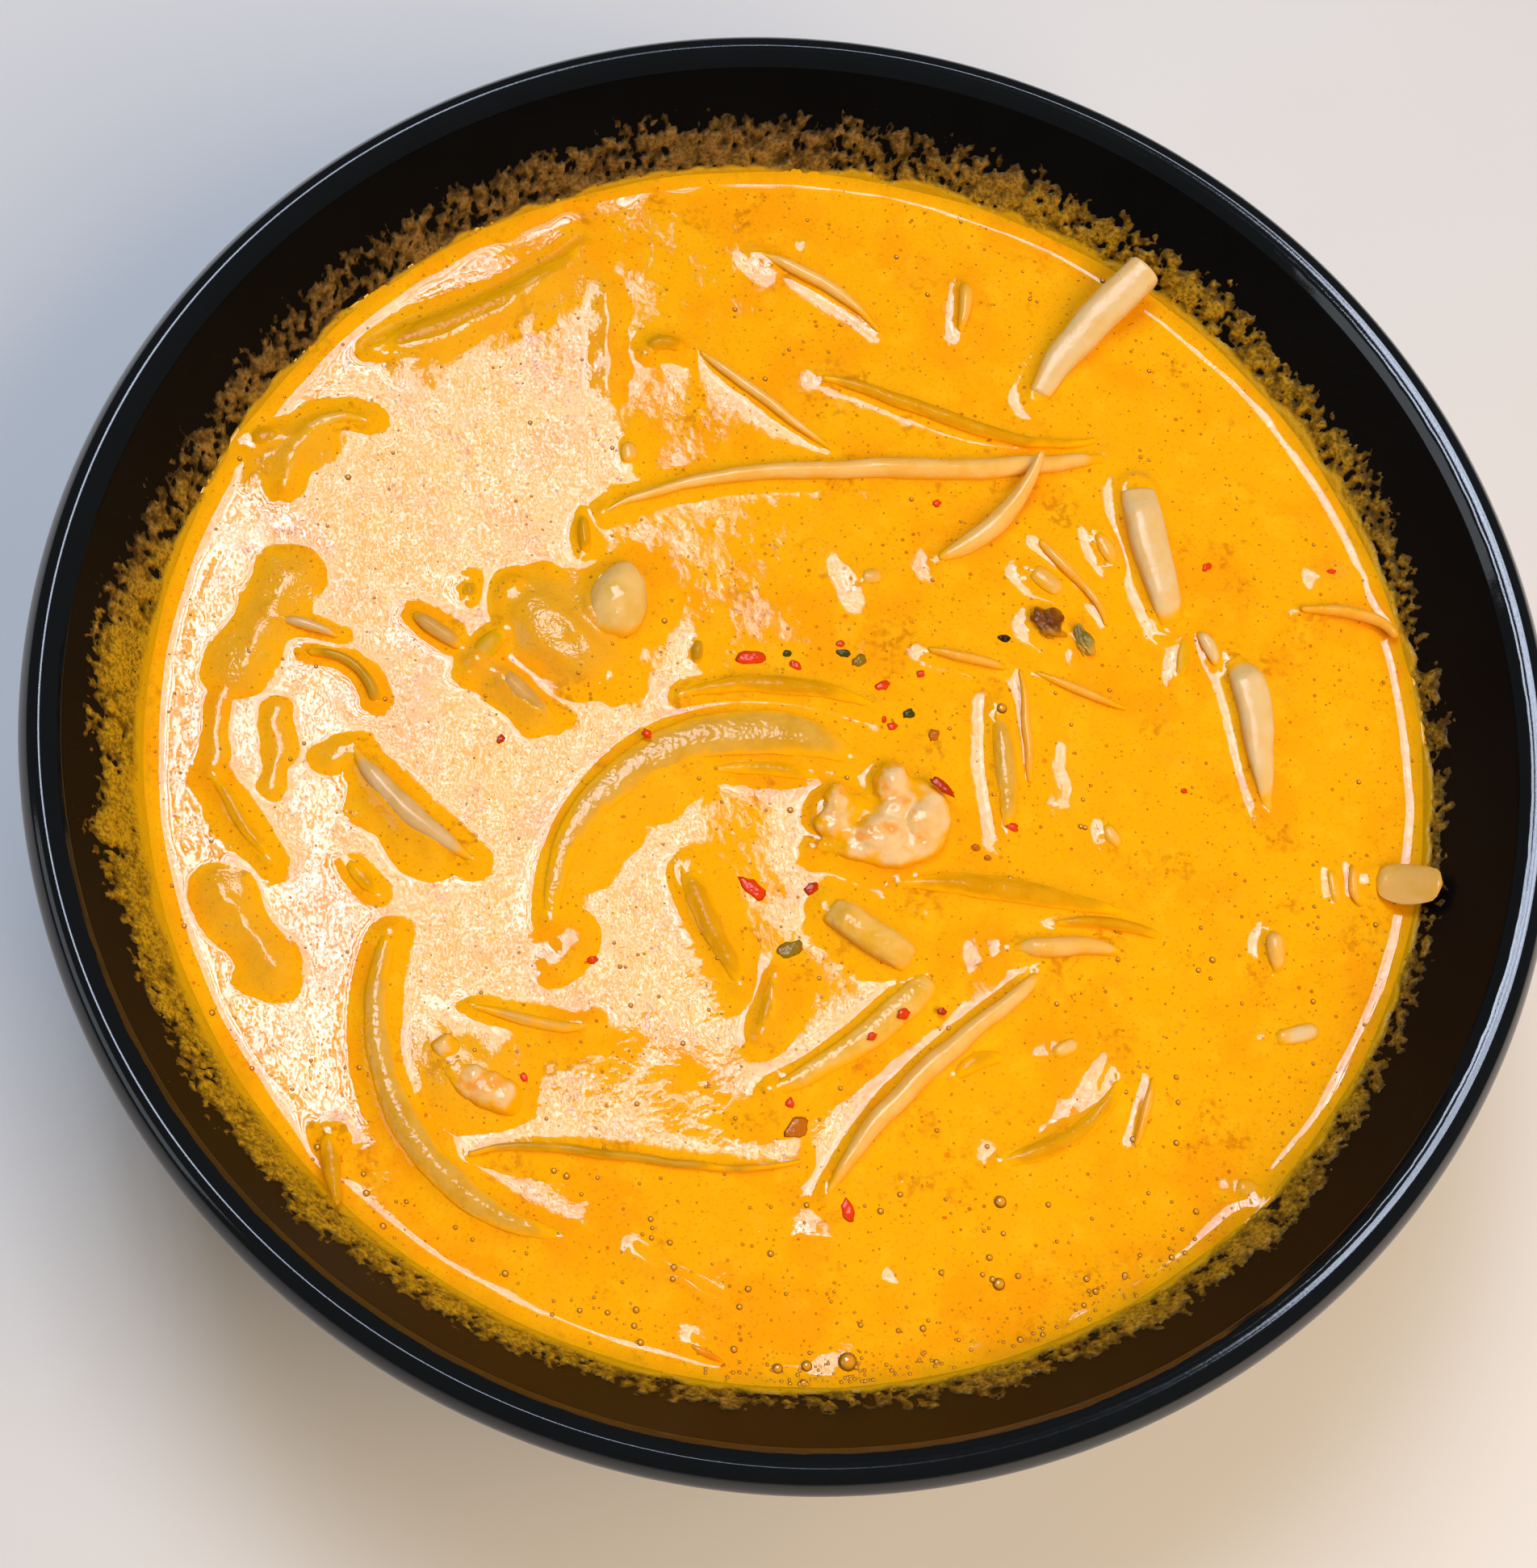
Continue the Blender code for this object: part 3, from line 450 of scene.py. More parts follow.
def centre_line(piece, kind, lean=None, climb=1.0):
    """The centre line of a strand, its half sizes, and the soup's height where it touches.
    The ends of a floating strand go under, square ones less, and a leaning one rises with
    s**1.5."""
    count = 2 * max(7, round(piece.length / LINE_STEP / 2)) + 1
    s = np.linspace(0.0, 1.0, count)
    u = s - 0.5
    turn = np.radians(piece.heading + piece.bend * u + piece.hook * (4.0 * u * u - 1.0 / 3.0))
    run = piece.length / (count - 1)
    path = []
    for part, middle in ((np.cos(turn), piece.x), (np.sin(turn), piece.y)):
        along = np.concatenate([[0.0], np.cumsum(0.5 * (part[1:] + part[:-1]))]) * run
        path.append(along + middle - along[count // 2])
    share = width_share(piece, s)
    half_width = 0.5 * piece.width * share
    half_height = 0.5 * min(kind.thick * piece.width, kind.most) * share
    contact = np.full(count, OPEN_LEVEL + climb * (STEEP_RISE + BROAD_RISE * kind.swell))
    if lean:
        z = lean[0] + (lean[1] - lean[0]) * s**LEAN_POWER + kind.top
    else:
        from_end = np.minimum(s, 1.0 - s) * piece.length
        square = np.where(s < 0.5, ease(0.75, 0.95, piece.start), ease(0.75, 0.95, piece.end))
        sunk = 1.0 - ease(0.0, min(0.22 * piece.length, 5.0), from_end)
        sunk = sunk * (1.0 - 0.6 * square)
        z = contact + half_height * (0.12 - 1.0 * sunk)
    return Line(*path, z, turn, half_width, half_height, contact)


SHAPES = {**PIECES, **BITS}
LINES = {}
CLIMBS = {name: 0.45 if name in BITS else 1.0 for name in SHAPES}
for name, piece in SHAPES.items():
    LINES[name] = centre_line(piece, KINDS[piece.kind], LEANING.get(name), climb=CLIMBS[name])
LINES["shrimp_large"] = centre_line(SHRIMP_BODY, KINDS["pale_strip"])
LUMPS = {"onion_chunk": ONION_CHUNK, "meat_scrap": MEAT_SCRAP, "green_scrap": GREEN_SCRAP}


def lump_line(shape):
    """A lump's outline as a short line of circles, for the soup that climbs it."""
    s = np.linspace(-0.5, 0.5, 9)
    flat = np.zeros_like(s)
    half = flat + 0.46 * shape.width
    x, y = turned(shape.x, shape.y, s * (shape.length - shape.width), flat, shape.heading)
    contact = flat + OPEN_LEVEL + STEEP_RISE + BROAD_RISE
    return Line(x, y, flat, flat + math.radians(shape.heading), half, half * 0.5, contact)


# ======== the soup's surface
def soup_height(x, y):
    """Height over SOUP_LEVEL at each point: the open level, the climb up the wall, the largest
    climb up a topping (a 4-norm), the bulges over what is sunk, and slow waves.  The climb up
    the wall is tilt * turn * log(1 + exp((start - from_wall) / turn)), where start wanders and
    is up to 0.5 mm further from the wall on the right.  A climb up a topping is two
    exponentials of the gap to it, and lower at roots and bits.  Inside the outline it goes on
    straight, but stays SKIN mm under the top of a topping that is out of the soup."""
    start = WALL_START + 0.25 * (1.0 + np.cos(np.arctan2(y, x) + 0.35))
    start = start + 0.25 * cloud(x, y, 9.0, 15)
    from_wall = SOUP_RADIUS - np.hypot(x, y)
    z = OPEN_LEVEL + WALL_TILT * WALL_TURN * np.logaddexp(0.0, (start - from_wall) / WALL_TURN)
    climb = np.zeros_like(x)
    lines = []
    for name, piece in SHAPES.items():
        kind = KINDS[piece.kind]
        share = 0.6 if piece.kind == "root" and name in PIECES else CLIMBS[name]
        lines.append((LINES[name], share, kind.swell, kind.thin))
    lines += [(lump_line(shape), 1.0, 1.0, 0.0) for shape in (*LUMPS.values(), *SHRIMP_LUMPS)]
    lines.append((LINES["shrimp_large"], 1.0, 1.0, 0.0))
    for line, share, swell, thin in lines:
        near = (x > line.x.min() - CLIMB_SPAN) & (x < line.x.max() + CLIMB_SPAN)
        near &= (y > line.y.min() - CLIMB_SPAN) & (y < line.y.max() + CLIMB_SPAN)
        spots = np.nonzero(near)[0]
        gaps = np.hypot(x[spots, None] - line.x, y[spots, None] - line.y) - line.half_width
        nearest = gaps.argmin(1)
        gap = gaps[np.arange(len(spots)), nearest]
        half_width, half_height = line.half_width[nearest], line.half_height[nearest]
        held = 1.0 - ease(-0.6, 0.9, line.z[nearest] - half_height)
        out, within = np.maximum(gap, 0.0), np.maximum(-gap, 0.0)
        rise = STEEP_RISE * (np.exp(-out / STEEP_REACH) + within / STEEP_REACH)
        rise += BROAD_RISE * swell * (np.exp(-out / BROAD_REACH) + within / BROAD_REACH)
        rise *= share
        inward = np.minimum(within / half_width, 1.0)
        crown = half_height * (1.0 - (1.0 - inward) ** 2) ** (0.5 + 0.5 * thin)
        top = line.z[nearest] + crown - OPEN_LEVEL
        most = share * (STEEP_RISE + BROAD_RISE * swell)
        out_of_soup = ease(-0.05, 0.25, line.z[nearest] + half_height - OPEN_LEVEL - most)
        under_top = np.where(gap < 0.0, out_of_soup, 0.0)
        rise = np.minimum(rise, most + 0.3)
        rise += under_top * (np.minimum(rise, top - SKIN) - rise)
        climb[spots] += np.maximum(held * rise, 0.0) ** 4
    z += climb**0.25
    z += sunk_shape(x, y)[0]
    z += 0.075 * cloud(x, y, 9.0, 11) + 0.030 * cloud(x, y, 4.2, 12)
    return z


def sunk_shape(x, y):
    """How high what is sunk lifts the soup (ridges that fall from their middle line to an
    uneven foot, added up), and how much of it shows through, from 0 to 1."""
    z, shows = np.zeros_like(x), np.zeros_like(x)
    wander, foot = 0.8 * cloud(x, y, 3.2, 19), 1.0 + 0.18 * cloud(x, y, 5.0, 17)
    crest, edge = 1.0 + 0.16 * cloud(x, y, 1.7, 23), 0.15 * cloud(x, y, 2.4, 27)
    for sunk_x, sunk_y, length, width, heading, rise, share in SUNK:
        u, v = turned(0.0, 0.0, x - sunk_x, y - sunk_y, -heading)
        u, v = np.abs(u) - 0.5 * (length - width), v + wander
        gap = 2.0 * np.hypot(np.maximum(u, 0.0), v) / width
        ridge = np.maximum(1.0 - gap * foot, 0.0) ** 1.2
        z += rise * ridge * crest
        shows = np.maximum(shows, share * ease(0.0, 0.55, ridge + edge))
    return z, shows


def soup_piece(material):
    """The soup as one closed solid.  Its top is a square grid bent to a disc, ring by ring
    (angle = a quarter pi times the place along the side over the ring's size), lifted by
    soup_height; its wall and floor are the edge ring carried down the inside of the bowl."""
    count = 289
    side = np.linspace(-1.0, 1.0, count)
    u, v = np.meshgrid(side, side, indexing="ij")
    level = np.abs(u) > np.abs(v)
    ring = np.where(level, u, v)
    other = np.where(level, v, u)
    share = 0.25 * np.pi * other / np.where(ring == 0.0, 1.0, ring)
    angle = np.where(level, share, 0.5 * np.pi - share)
    radius = SOUP_RADIUS + SOUP_OVERLAP
    x, y = (radius * ring * np.cos(angle)).ravel(), (radius * ring * np.sin(angle)).ravel()
    z = SOUP_LEVEL + soup_height(x, y)
    top = np.stack([x, y, z], -1)
    index = np.arange(count * count).reshape(count, count)
    edge = np.concatenate([index[:-1, 0], index[-1, :-1], index[:0:-1, -1], index[0, :0:-1]])
    floor = FLOOR_TOP + SOUP_GAP
    wall = [(r, h) for r, h in inner_wall(SOUP_GAP, 14)[::-1] if h < SOUP_LEVEL - 1.5]
    depth = np.array(wall + [(0.5 * FLOOR_RADIUS, floor)])
    flat = top[edge, :2] / radius
    lower = [np.column_stack([flat * r, np.full(len(edge), h)]) for r, h in depth]
    points = np.concatenate([top, *lower, [[0.0, 0.0, floor]]])
    around = count * count + np.arange(len(edge))
    rings = [edge] + [around + k * len(edge) for k in range(len(depth))]
    skirt = []
    for above, below in zip(rings, rings[1:]):
        skirt.append(np.stack([above, below, np.roll(below, -1), np.roll(above, -1)], -1))
    pole = fan(len(points) - 1, rings[-1], True)
    shows = np.zeros(len(points))
    shows[: len(top)] = sunk_shape(x, y)[1]
    heap = Heap()
    heap.add(points, [grid_faces(count, count, False)[:, ::-1], *skirt, pole], shows=shows)
    return heap.build("soup_surface", material)


# ======== the bowl
def bezier(points, count):
    """count points of a cubic curve, with both its ends."""
    t = np.linspace(0.0, 1.0, count)[:, None]
    s = 1.0 - t
    p0, p1, p2, p3 = (np.array(p, float) for p in points)
    return p0 * s**3 + p1 * 3 * s * s * t + p2 * 3 * s * t * t + p3 * t**3


def inner_wall(gap, count):
    """(radius, height) up the inside from the floor to the soup line, gap inside it."""
    steep = np.array((INNER_EDGE[0] - SOUP_RADIUS, INNER_EDGE[1] - SOUP_LEVEL))
    steep /= np.hypot(*steep)
    top = np.array((SOUP_RADIUS - gap * steep[1], SOUP_LEVEL + gap * steep[0]))
    floor = np.array((FLOOR_RADIUS, FLOOR_TOP + gap))
    return bezier((floor, floor + (28.0, 0.0), top - steep * 32.0, top), count)


def smooth_run(points, count):
    """A Catmull-Rom curve through the points, count steps between neighbours."""
    p = np.array(points, float)
    p = np.concatenate([[2 * p[0] - p[1]], p, [2 * p[-1] - p[-2]]])
    t = np.linspace(0.0, 1.0, count, endpoint=False)[:, None]
    parts = []
    for a, b, c, d in zip(p, p[1:], p[2:], p[3:]):
        cubic = (-a + 3 * b - 3 * c + d) * t**3 + (2 * a - 5 * b + 4 * c - d) * t * t
        parts.append(0.5 * (2 * b + (c - a) * t + cubic))
    return np.concatenate([*parts, p[-2:-1]])


def bowl_piece(inside_material, outside_material):
    """The bowl: its profile turned round the axis.  The worn step between the inside and the
    satin lip wanders in and out a little round the lip."""
    top = BOWL_HEIGHT
    wall = bezier(((SOUP_RADIUS, SOUP_LEVEL),) * 2 + (INNER_EDGE,) * 2, 12)
    lip = smooth_run(
        [
            INNER_EDGE,
            (LIP_TOP_RADIUS - 1.7, top - 0.72),
            (LIP_TOP_RADIUS - 1.1, top - 0.40),
            (LIP_TOP_RADIUS - 0.5, top - 0.16),
            (LIP_TOP_RADIUS + 0.4, top),
            (LIP_TOP_RADIUS + 1.9, top - 0.75),
            (LIP_RADIUS, top - 3.3),
            (LIP_RADIUS - 0.9, top - 5.8),
            (LIP_RADIUS - 3.0, top - 7.4),
        ],
        6,
    )
    belly = bezier((lip[-1], (94.0, 46.0), (74.0, 12.0), (FOOT_OUTER + 1.0, FOOT_HEIGHT)), 26)
    foot = smooth_run(
        [
            (FOOT_OUTER + 1.0, FOOT_HEIGHT),
            (FOOT_OUTER, FOOT_HEIGHT - 1.6),
            (FOOT_OUTER - 0.1, 1.4),
            (FOOT_FLAT[1], 0.0),
            (FOOT_FLAT[0], 0.0),
            (FOOT_INNER, 1.0),
            (FOOT_INNER - 0.4, FLOOR_BOTTOM - 0.9),
            (FOOT_INNER - 1.6, FLOOR_BOTTOM),
        ],
        4,
    )
    inside = inner_wall(0.0, 18)
    profile = np.concatenate([inside, wall[1:], lip[1:], belly[1:], foot[1:]])
    steps = 420
    angle = np.linspace(0.0, 2.0 * np.pi, steps, endpoint=False)
    r, h = profile[:, :1], profile[:, 1:]
    x, y = r * np.cos(angle), r * np.sin(angle)
    worn = np.exp(-(((r - LIP_TOP_RADIUS + 1.7) / 0.7) ** 2)) * (h > top - 2.5)
    inward = worn * (0.16 * cloud(x, y, 1.6, 31, 2) + 0.05)
    x, y = x - inward * np.cos(angle), y - inward * np.sin(angle)
    z = h + 0.0 * x - 0.5 * inward
    z[profile[:, 1] < 0.01] = 0.0      # the foot's curve dips a little below its flat
    rows = len(profile)
    poles = [[0, 0, FLOOR_TOP], [0, 0, FLOOR_BOTTOM]]
    points = np.concatenate([np.stack([x, y, z], -1).reshape(-1, 3), poles])
    first = np.arange(steps)
    last = first + (rows - 1) * steps
    heap = Heap()
    quads = grid_faces(rows, steps, True)[:, ::-1]
    heap.add(points, [quads, fan(rows * steps, first, False), fan(rows * steps + 1, last, True)])
    obj = heap.build("bowl_shell", inside_material)
    obj.data.materials.append(outside_material)
    past_step = np.arange(rows - 1) > len(inside) + len(wall) - 3
    which = np.concatenate([np.repeat(past_step, steps), np.zeros(steps), np.ones(steps)])
    obj.data.polygons.foreach_set("material_index", which.astype(np.int32))
    return obj


def residue_piece(material):
    """Dried soup on the wall: the wall moved along its normal by a thickness that is positive
    where soup stuck and negative, inside the wall, where it is bare.  The thickness falls with
    height as the table says and is broken up by noise, with pits in it."""
    turns, rows = 1900, 46
    azimuth = np.linspace(-180.0, 180.0, turns, endpoint=False)
    degrees, *columns = np.array(RESIDUE).T
    reach, cover, yellow = (np.interp(azimuth, degrees, c)[None, :] for c in columns)
    angle = np.radians(azimuth)[None, :]
    share = np.linspace(0.0, 1.0, rows)[:, None]
    height = -RESIDUE_FOOT + (np.minimum(reach * 1.22, 14.2) + RESIDUE_FOOT) * share
    radius = SOUP_RADIUS + WALL_SLOPE * height
    spread = 95.0 + 0.85 * height
    u, v = spread * np.cos(angle), spread * np.sin(angle)
    ragged = reach * (0.86 + 0.20 * cloud(u, v, 5.0, 41, 3) + 0.08 * cloud(u, v, 1.5, 44, 2))
    wet = 1.0 - ease(0.3, 0.6 + 1.9 * yellow**2, height + 0.7 * cloud(u, v, 3.0, 46))
    top = 1.0 - ease(0.50, 1.25, height / ragged)
    grain = cloud(u, v, 1.0, 47, 3)
    blotch = cloud(u, v, 4.2, 51, 2)
    thick = 0.85 * (cover - 0.66) + 0.30 * top - 0.62 * (1.0 - top) + 0.62 * grain + 0.26 * blotch
    pits = ease(0.42, 0.75, cloud(u, v, 1.15, 55, 2)) * (1.0 - 0.8 * wet)
    thick = np.clip(np.maximum(thick - 0.8 * pits, 0.9 * wet - 0.25), -0.5, 0.6)
    shell = np.where(thick > 0.0, 0.15 + 0.75 * thick, 0.9 * thick) - 0.12
    slant = math.hypot(1.0, WALL_SLOPE)
    ends = [-1, 0]     # the back needs only its top row and its foot
    r = radius - shell / slant, radius[ends] + RESIDUE_DEEP / slant
    z = SOUP_LEVEL + height + shell * WALL_SLOPE / slant
    z = z, SOUP_LEVEL + height[ends] - RESIDUE_DEEP * WALL_SLOPE / slant
    r, z = np.concatenate(r), np.concatenate(z)
    points = np.stack([r * np.cos(angle), r * np.sin(angle), z], -1).reshape(-1, 3)
    quads = grid_faces(rows + 3, turns, True) % len(points)     # the foot joins the first row
    values = {"thick": thick, "wet": wet, "up": height / reach, "yellow": yellow + 0.0 * height}
    values = {key: np.concatenate([v, np.zeros((2, turns))]).ravel() for key, v in values.items()}
    heap = Heap()
    heap.add(points, [quads[:, ::-1]], **values)
    return heap.build("dried_soup", material)


# ======== toppings
def strand_parts(line, kind, seed, heap):
    """A strand: the section (cos a, +-|sin a|**(1 + thin)) carried along the line, rounded at both
    ends by a quarter circle, its radius changed by slow lumps and quick wrinkles.  `film` is 1
    where soup covers it, and falls to 0 at the height kind.film over the soup's edge."""
    count, sides = len(line.x), kind.sides
    run = np.hypot(np.diff(line.x), np.diff(line.y))
    along = np.concatenate([[0.0], np.cumsum(run)])
    from_end = np.minimum(along, along[-1] - along)
    cap = np.minimum(kind.cap, 0.9 * line.half_width) + 1e-6
    rounding = np.sqrt(np.clip(1.0 - (1.0 - np.clip(from_end / cap, 0.0, 1.0)) ** 2, 0.02, 1.0))
    angle = (np.arange(sides) / sides * 2.0 - 0.5) * np.pi
    around = angle[None, :] * line.half_width[:, None] + 40.0
    length = along[:, None] + 0.0 * around
    lumps = kind.lumps * cloud(length + 7.0 * seed, around, 3.6, seed)
    wrinkles = kind.wrinkles * cloud(length * 0.6 + 3.0 * seed, around, 0.7, seed + 3, 2)
    swing = 1.0 + (lumps + wrinkles) / (0.4 + line.half_width[:, None])
    across = line.half_width[:, None] * rounding[:, None] * swing * np.cos(angle)
    rise = np.sign(np.sin(angle)) * np.abs(np.sin(angle)) ** (1.0 + kind.thin)
    up = line.half_height[:, None] * rounding[:, None] * swing * rise
    wander = 0.22 * cloud(along + 13.0 * seed, along * 0.0 + seed, 5.0, seed + 5)[:, None]
    x = line.x[:, None] - np.sin(line.turn)[:, None] * (across + wander)
    y = line.y[:, None] + np.cos(line.turn)[:, None] * (across + wander)
    z = SOUP_LEVEL + line.z[:, None] + up + 0.5 * lumps
    over = z - SOUP_LEVEL - line.contact[:, None]
    uneven = 0.30 * kind.film * cloud(length, around, 2.6, seed + 9, 2)
    film = 1.0 - ease(-0.1, kind.film, over + uneven)
    film = np.concatenate([film.ravel(), film[[0, -1]].mean(1)])
    share = np.concatenate([np.repeat(along / along[-1], sides), [0.0, 1.0]])
    heap.add(*capped(np.stack([x, y, z], -1)), film=film, along=share)


def blob_parts(shape, seed, heap, point, rough):
    """A lump: an ellipsoid by longitude and latitude, narrowed by `point` towards the end it
    heads for, its size changed by noise of strength `rough`.  Soup covers its foot, and
    reaches higher on its front."""
    sides, rings = 40, 26
    longitude = np.arange(sides) / sides * 2.0 * np.pi
    latitude = np.linspace(-0.5, 0.5, rings + 2)[1:-1, None] * np.pi
    ux = np.cos(latitude) * np.cos(longitude)
    uy = np.cos(latitude) * np.sin(longitude)
    uz = np.sin(latitude) + 0.0 * longitude
    uy = uy * (1.0 - 0.5 * point * (ux + 1.0))
    bump = 1.0 + rough * cloud(2.0 * ux + seed, 2.0 * uy + 1.7 * uz, 0.8, seed, 3)
    a, b = 0.5 * shape.length * ux * bump, 0.5 * shape.width * uy * bump
    x, y = turned(shape.x, shape.y, a, b, shape.heading)
    middle = SOUP_LEVEL + shape.out - 0.5 * shape.height
    points, faces = capped(np.stack([x, y, middle + 0.5 * shape.height * uz * bump], -1))
    x, y, z = points.T
    front = ease(-1.0, 0.55 * shape.length, shape.y - y)
    over = z - SOUP_LEVEL + 0.2 * cloud(x, y, 1.5, seed + 2)
    film = 1.0 - ease(0.1 + 0.3 * front, 0.9 + 1.5 * front, over)
    heap.add(points, faces, film=film)


def flake_parts(x, y, length, width, heading, colour, height, seed, heap):
    """A flake: a flat lens with an uneven, cornered outline (the radius changes from one of its
    14 corners to the next), one side of it tipped up."""
    random = np.random.default_rng(seed)
    corners = 14
    angle = np.arange(corners) / corners * 2.0 * np.pi
    outline = random.uniform(0.70, 1.05, corners)
    rings = []
    for share, lift in ((0.35, 0.16), (0.8, 0.13), (1.0, 0.0), (0.8, -0.13), (0.35, -0.16)):
        a = 0.5 * length * share * outline * np.cos(angle)
        b = 0.5 * width * share * outline * np.sin(angle)
        tip = 0.10 * a / length + 0.10 * b / width + random.uniform(-0.03, 0.03, corners)
        spot = turned(x, y, a, b, heading)
        rings.append(np.stack([*spot, SOUP_LEVEL + height + lift + tip], -1))
    points, faces = capped(np.array(rings), flip=True)
    heap.add(points, faces, tint=np.tile((*colour, 1.0), (len(points), 1)))


def flakes_piece(material):
    """Chili flakes and herb bits, on the soup and on toppings."""
    heap = Heap()
    heights = soup_height(*np.array([row[:2] for row in FLAKES]).T)
    for number, (row, height) in enumerate(zip(FLAKES, heights)):
        flake_parts(*row, height + 0.10, 300 + number, heap)
    for number, row in enumerate(FLAKES_ON_TOP):
        flake_parts(*row, 350 + number, heap)
    return heap.build("chili_flakes", material)


def bubbles_piece(material):
    """Bubbles: domes on the soup, more of them and larger near the front edge.  Each is a
    latitude and longitude grid over the upper part of a ball; `dome` is 0 near its foot."""
    random = np.random.default_rng(77)
    rows = list(BUBBLES)
    for number in range(EDGE_BUBBLES):
        turn = random.normal(-1.50, 0.09) if number % 3 else random.normal(-1.05, 0.16)
        r = 94.2 - 2.6 * abs(random.normal())
        rows.append((r * math.cos(turn), r * math.sin(turn), random.uniform(0.14, 0.34)))
    while len(rows) < ALL_BUBBLES:
        r = 93.6 * math.sqrt(random.random())
        turn = random.uniform(-math.pi, math.pi)
        x, y = r * math.cos(turn), r * math.sin(turn)
        front = max(0.0, -y / 94.0) ** 2
        edge = max(0.0, (r - 86.0) / 8.0)
        if random.random() > 0.22 + 0.8 * front * (0.4 + edge) + 0.1 * edge:
            continue
        size = 0.09 + 0.10 * random.exponential() * (0.7 + front)
        rows.append((x, y, min(size, 0.48)))
    rows = np.array(rows)
    heap = Heap()
    for (x, y, size), level in zip(rows, soup_height(rows[:, 0], rows[:, 1])):
        sides, rings = (16, 7) if size > 0.35 else (8, 4)
        turn = np.arange(sides) / sides * 2.0 * np.pi
        tilt = np.linspace(-0.15, 1.35, rings)[:, None]
        reach = size * np.cos(tilt)
        height = SOUP_LEVEL + level + 0.75 * size * np.sin(tilt) + 0.0 * turn
        dome = np.stack([x + reach * np.cos(turn), y + reach * np.sin(turn), height], -1)
        lift = np.concatenate([np.repeat(np.sin(tilt.ravel()), sides), [0.0, 1.0]])
        heap.add(*capped(dome), dome=lift)
    return heap.build("bubbles", material)


def shrimp_piece(name, body, lumps, seed, depth, material):
    """A shrimp: the body's strand with the rings of its tail, and its lumps, melted into one
    skin by a voxel remesh, smoothed, and then roughened by noise along its normals.  Soup
    covers it up to about `depth` mm over the soup's level, and a little less on its left;
    `crease` is 1 in its folds."""
    heap = Heap()
    kind = KINDS["pale_strip"]
    line = centre_line(body, kind)
    s = np.linspace(0.0, 1.0, len(line.x))
    rings = 1.0 + 0.03 * np.cos(2.0 * np.pi * s * 5.0)
    tall = line.half_height * 0.9 * rings
    low = line.z - (0.1 if name == "shrimp_large" else 0.9)
    line = line._replace(half_width=line.half_width * rings, half_height=tall, z=low)
    strand_parts(line, kind._replace(lumps=0.2, cap=1.6), seed, heap)
    for number, shape in enumerate(lumps):
        blob_parts(shape, seed + number, heap, 0.0, 0.14)
    heap.values.clear()
    rough = heap.build(name + "_rough", material)
    remesh = rough.modifiers.new("Melt", "REMESH")
    remesh.mode = "VOXEL"
    remesh.voxel_size = FLESH_CELL * MM
    soften = rough.modifiers.new("Soften", "SMOOTH")
    soften.factor = 0.5
    soften.iterations = 12
    bpy.context.view_layer.update()
    graph = bpy.context.evaluated_depsgraph_get()
    mesh = bpy.data.meshes.new_from_object(rough.evaluated_get(graph))
    mesh.name = name + "_flesh"
    points = np.empty(3 * len(mesh.vertices), np.float32)
    normals = np.empty_like(points)
    mesh.vertices.foreach_get("co", points)
    mesh.vertex_normals.foreach_get("vector", normals)
    points = points.reshape(-1, 3).astype(float) / MM
    x, y, z = points.T
    folds = 0.20 * cloud(x + 0.5 * z, y, 2.2, seed + 20, 2)
    folds = folds + 0.06 * cloud(x, y + z, 0.8, seed + 24, 2)
    points += folds[:, None] * normals.reshape(-1, 3)
    mesh.vertices.foreach_set("co", (points * MM).ravel().astype(np.float32))
    left = ease(0.0, 7.0, body.x - 1.0 - x)
    over = z - SOUP_LEVEL + 0.9 * cloud(x, y, 2.0, seed + 30, 3)
    write_value(mesh, "film", 1.0 - ease(depth - 0.5, depth + 1.1, over + 0.3 * left))
    write_value(mesh, "crease", ease(0.02, 0.12, -folds))
    mesh.materials.clear()
    mesh.materials.append(material)
    mesh.shade_smooth()
    bpy.data.objects.remove(rough, do_unlink=True)
    return put(mesh.name, mesh)


# ======== materials
class Wire:
    """A number in a material: arithmetic on it adds Math nodes."""

    def __init__(self, paint, socket):
        self.paint = paint
        self.socket = socket

    def _math(self, operation, first, second=None):
        sockets = {0: first} if second is None else {0: first, 1: second}
        return self.paint.node("ShaderNodeMath", {"operation": operation}, sockets)

    def __add__(self, other):
        return self._math("ADD", self, other)

    def __sub__(self, other):
        return self._math("SUBTRACT", self, other)

    def __rsub__(self, other):
        return self._math("SUBTRACT", other, self)

    def __mul__(self, other):
        return self._math("MULTIPLY", self, other)

    def __pow__(self, other):
        return self._math("POWER", self, other)

    __radd__ = __add__
    __rmul__ = __mul__

    def step(self, low, high):
        """0 at low, 1 at high, eased between them."""
        sockets = {"Value": self, "From Min": low, "From Max": high}
        settings = {"interpolation_type": "SMOOTHSTEP"}
        return self.paint.node("ShaderNodeMapRange", settings, sockets)


def socket_name(key):
    """The shader's name for a socket: base_color is Base Color, and ior is IOR."""
    return key.replace("_", " ").title().replace("Ior", "IOR")


def find(sockets, key):
    """The socket with this identifier, or else with this name or number."""
    matching = [socket for socket in sockets if socket.identifier == key]
    return matching[0] if matching else sockets[key]


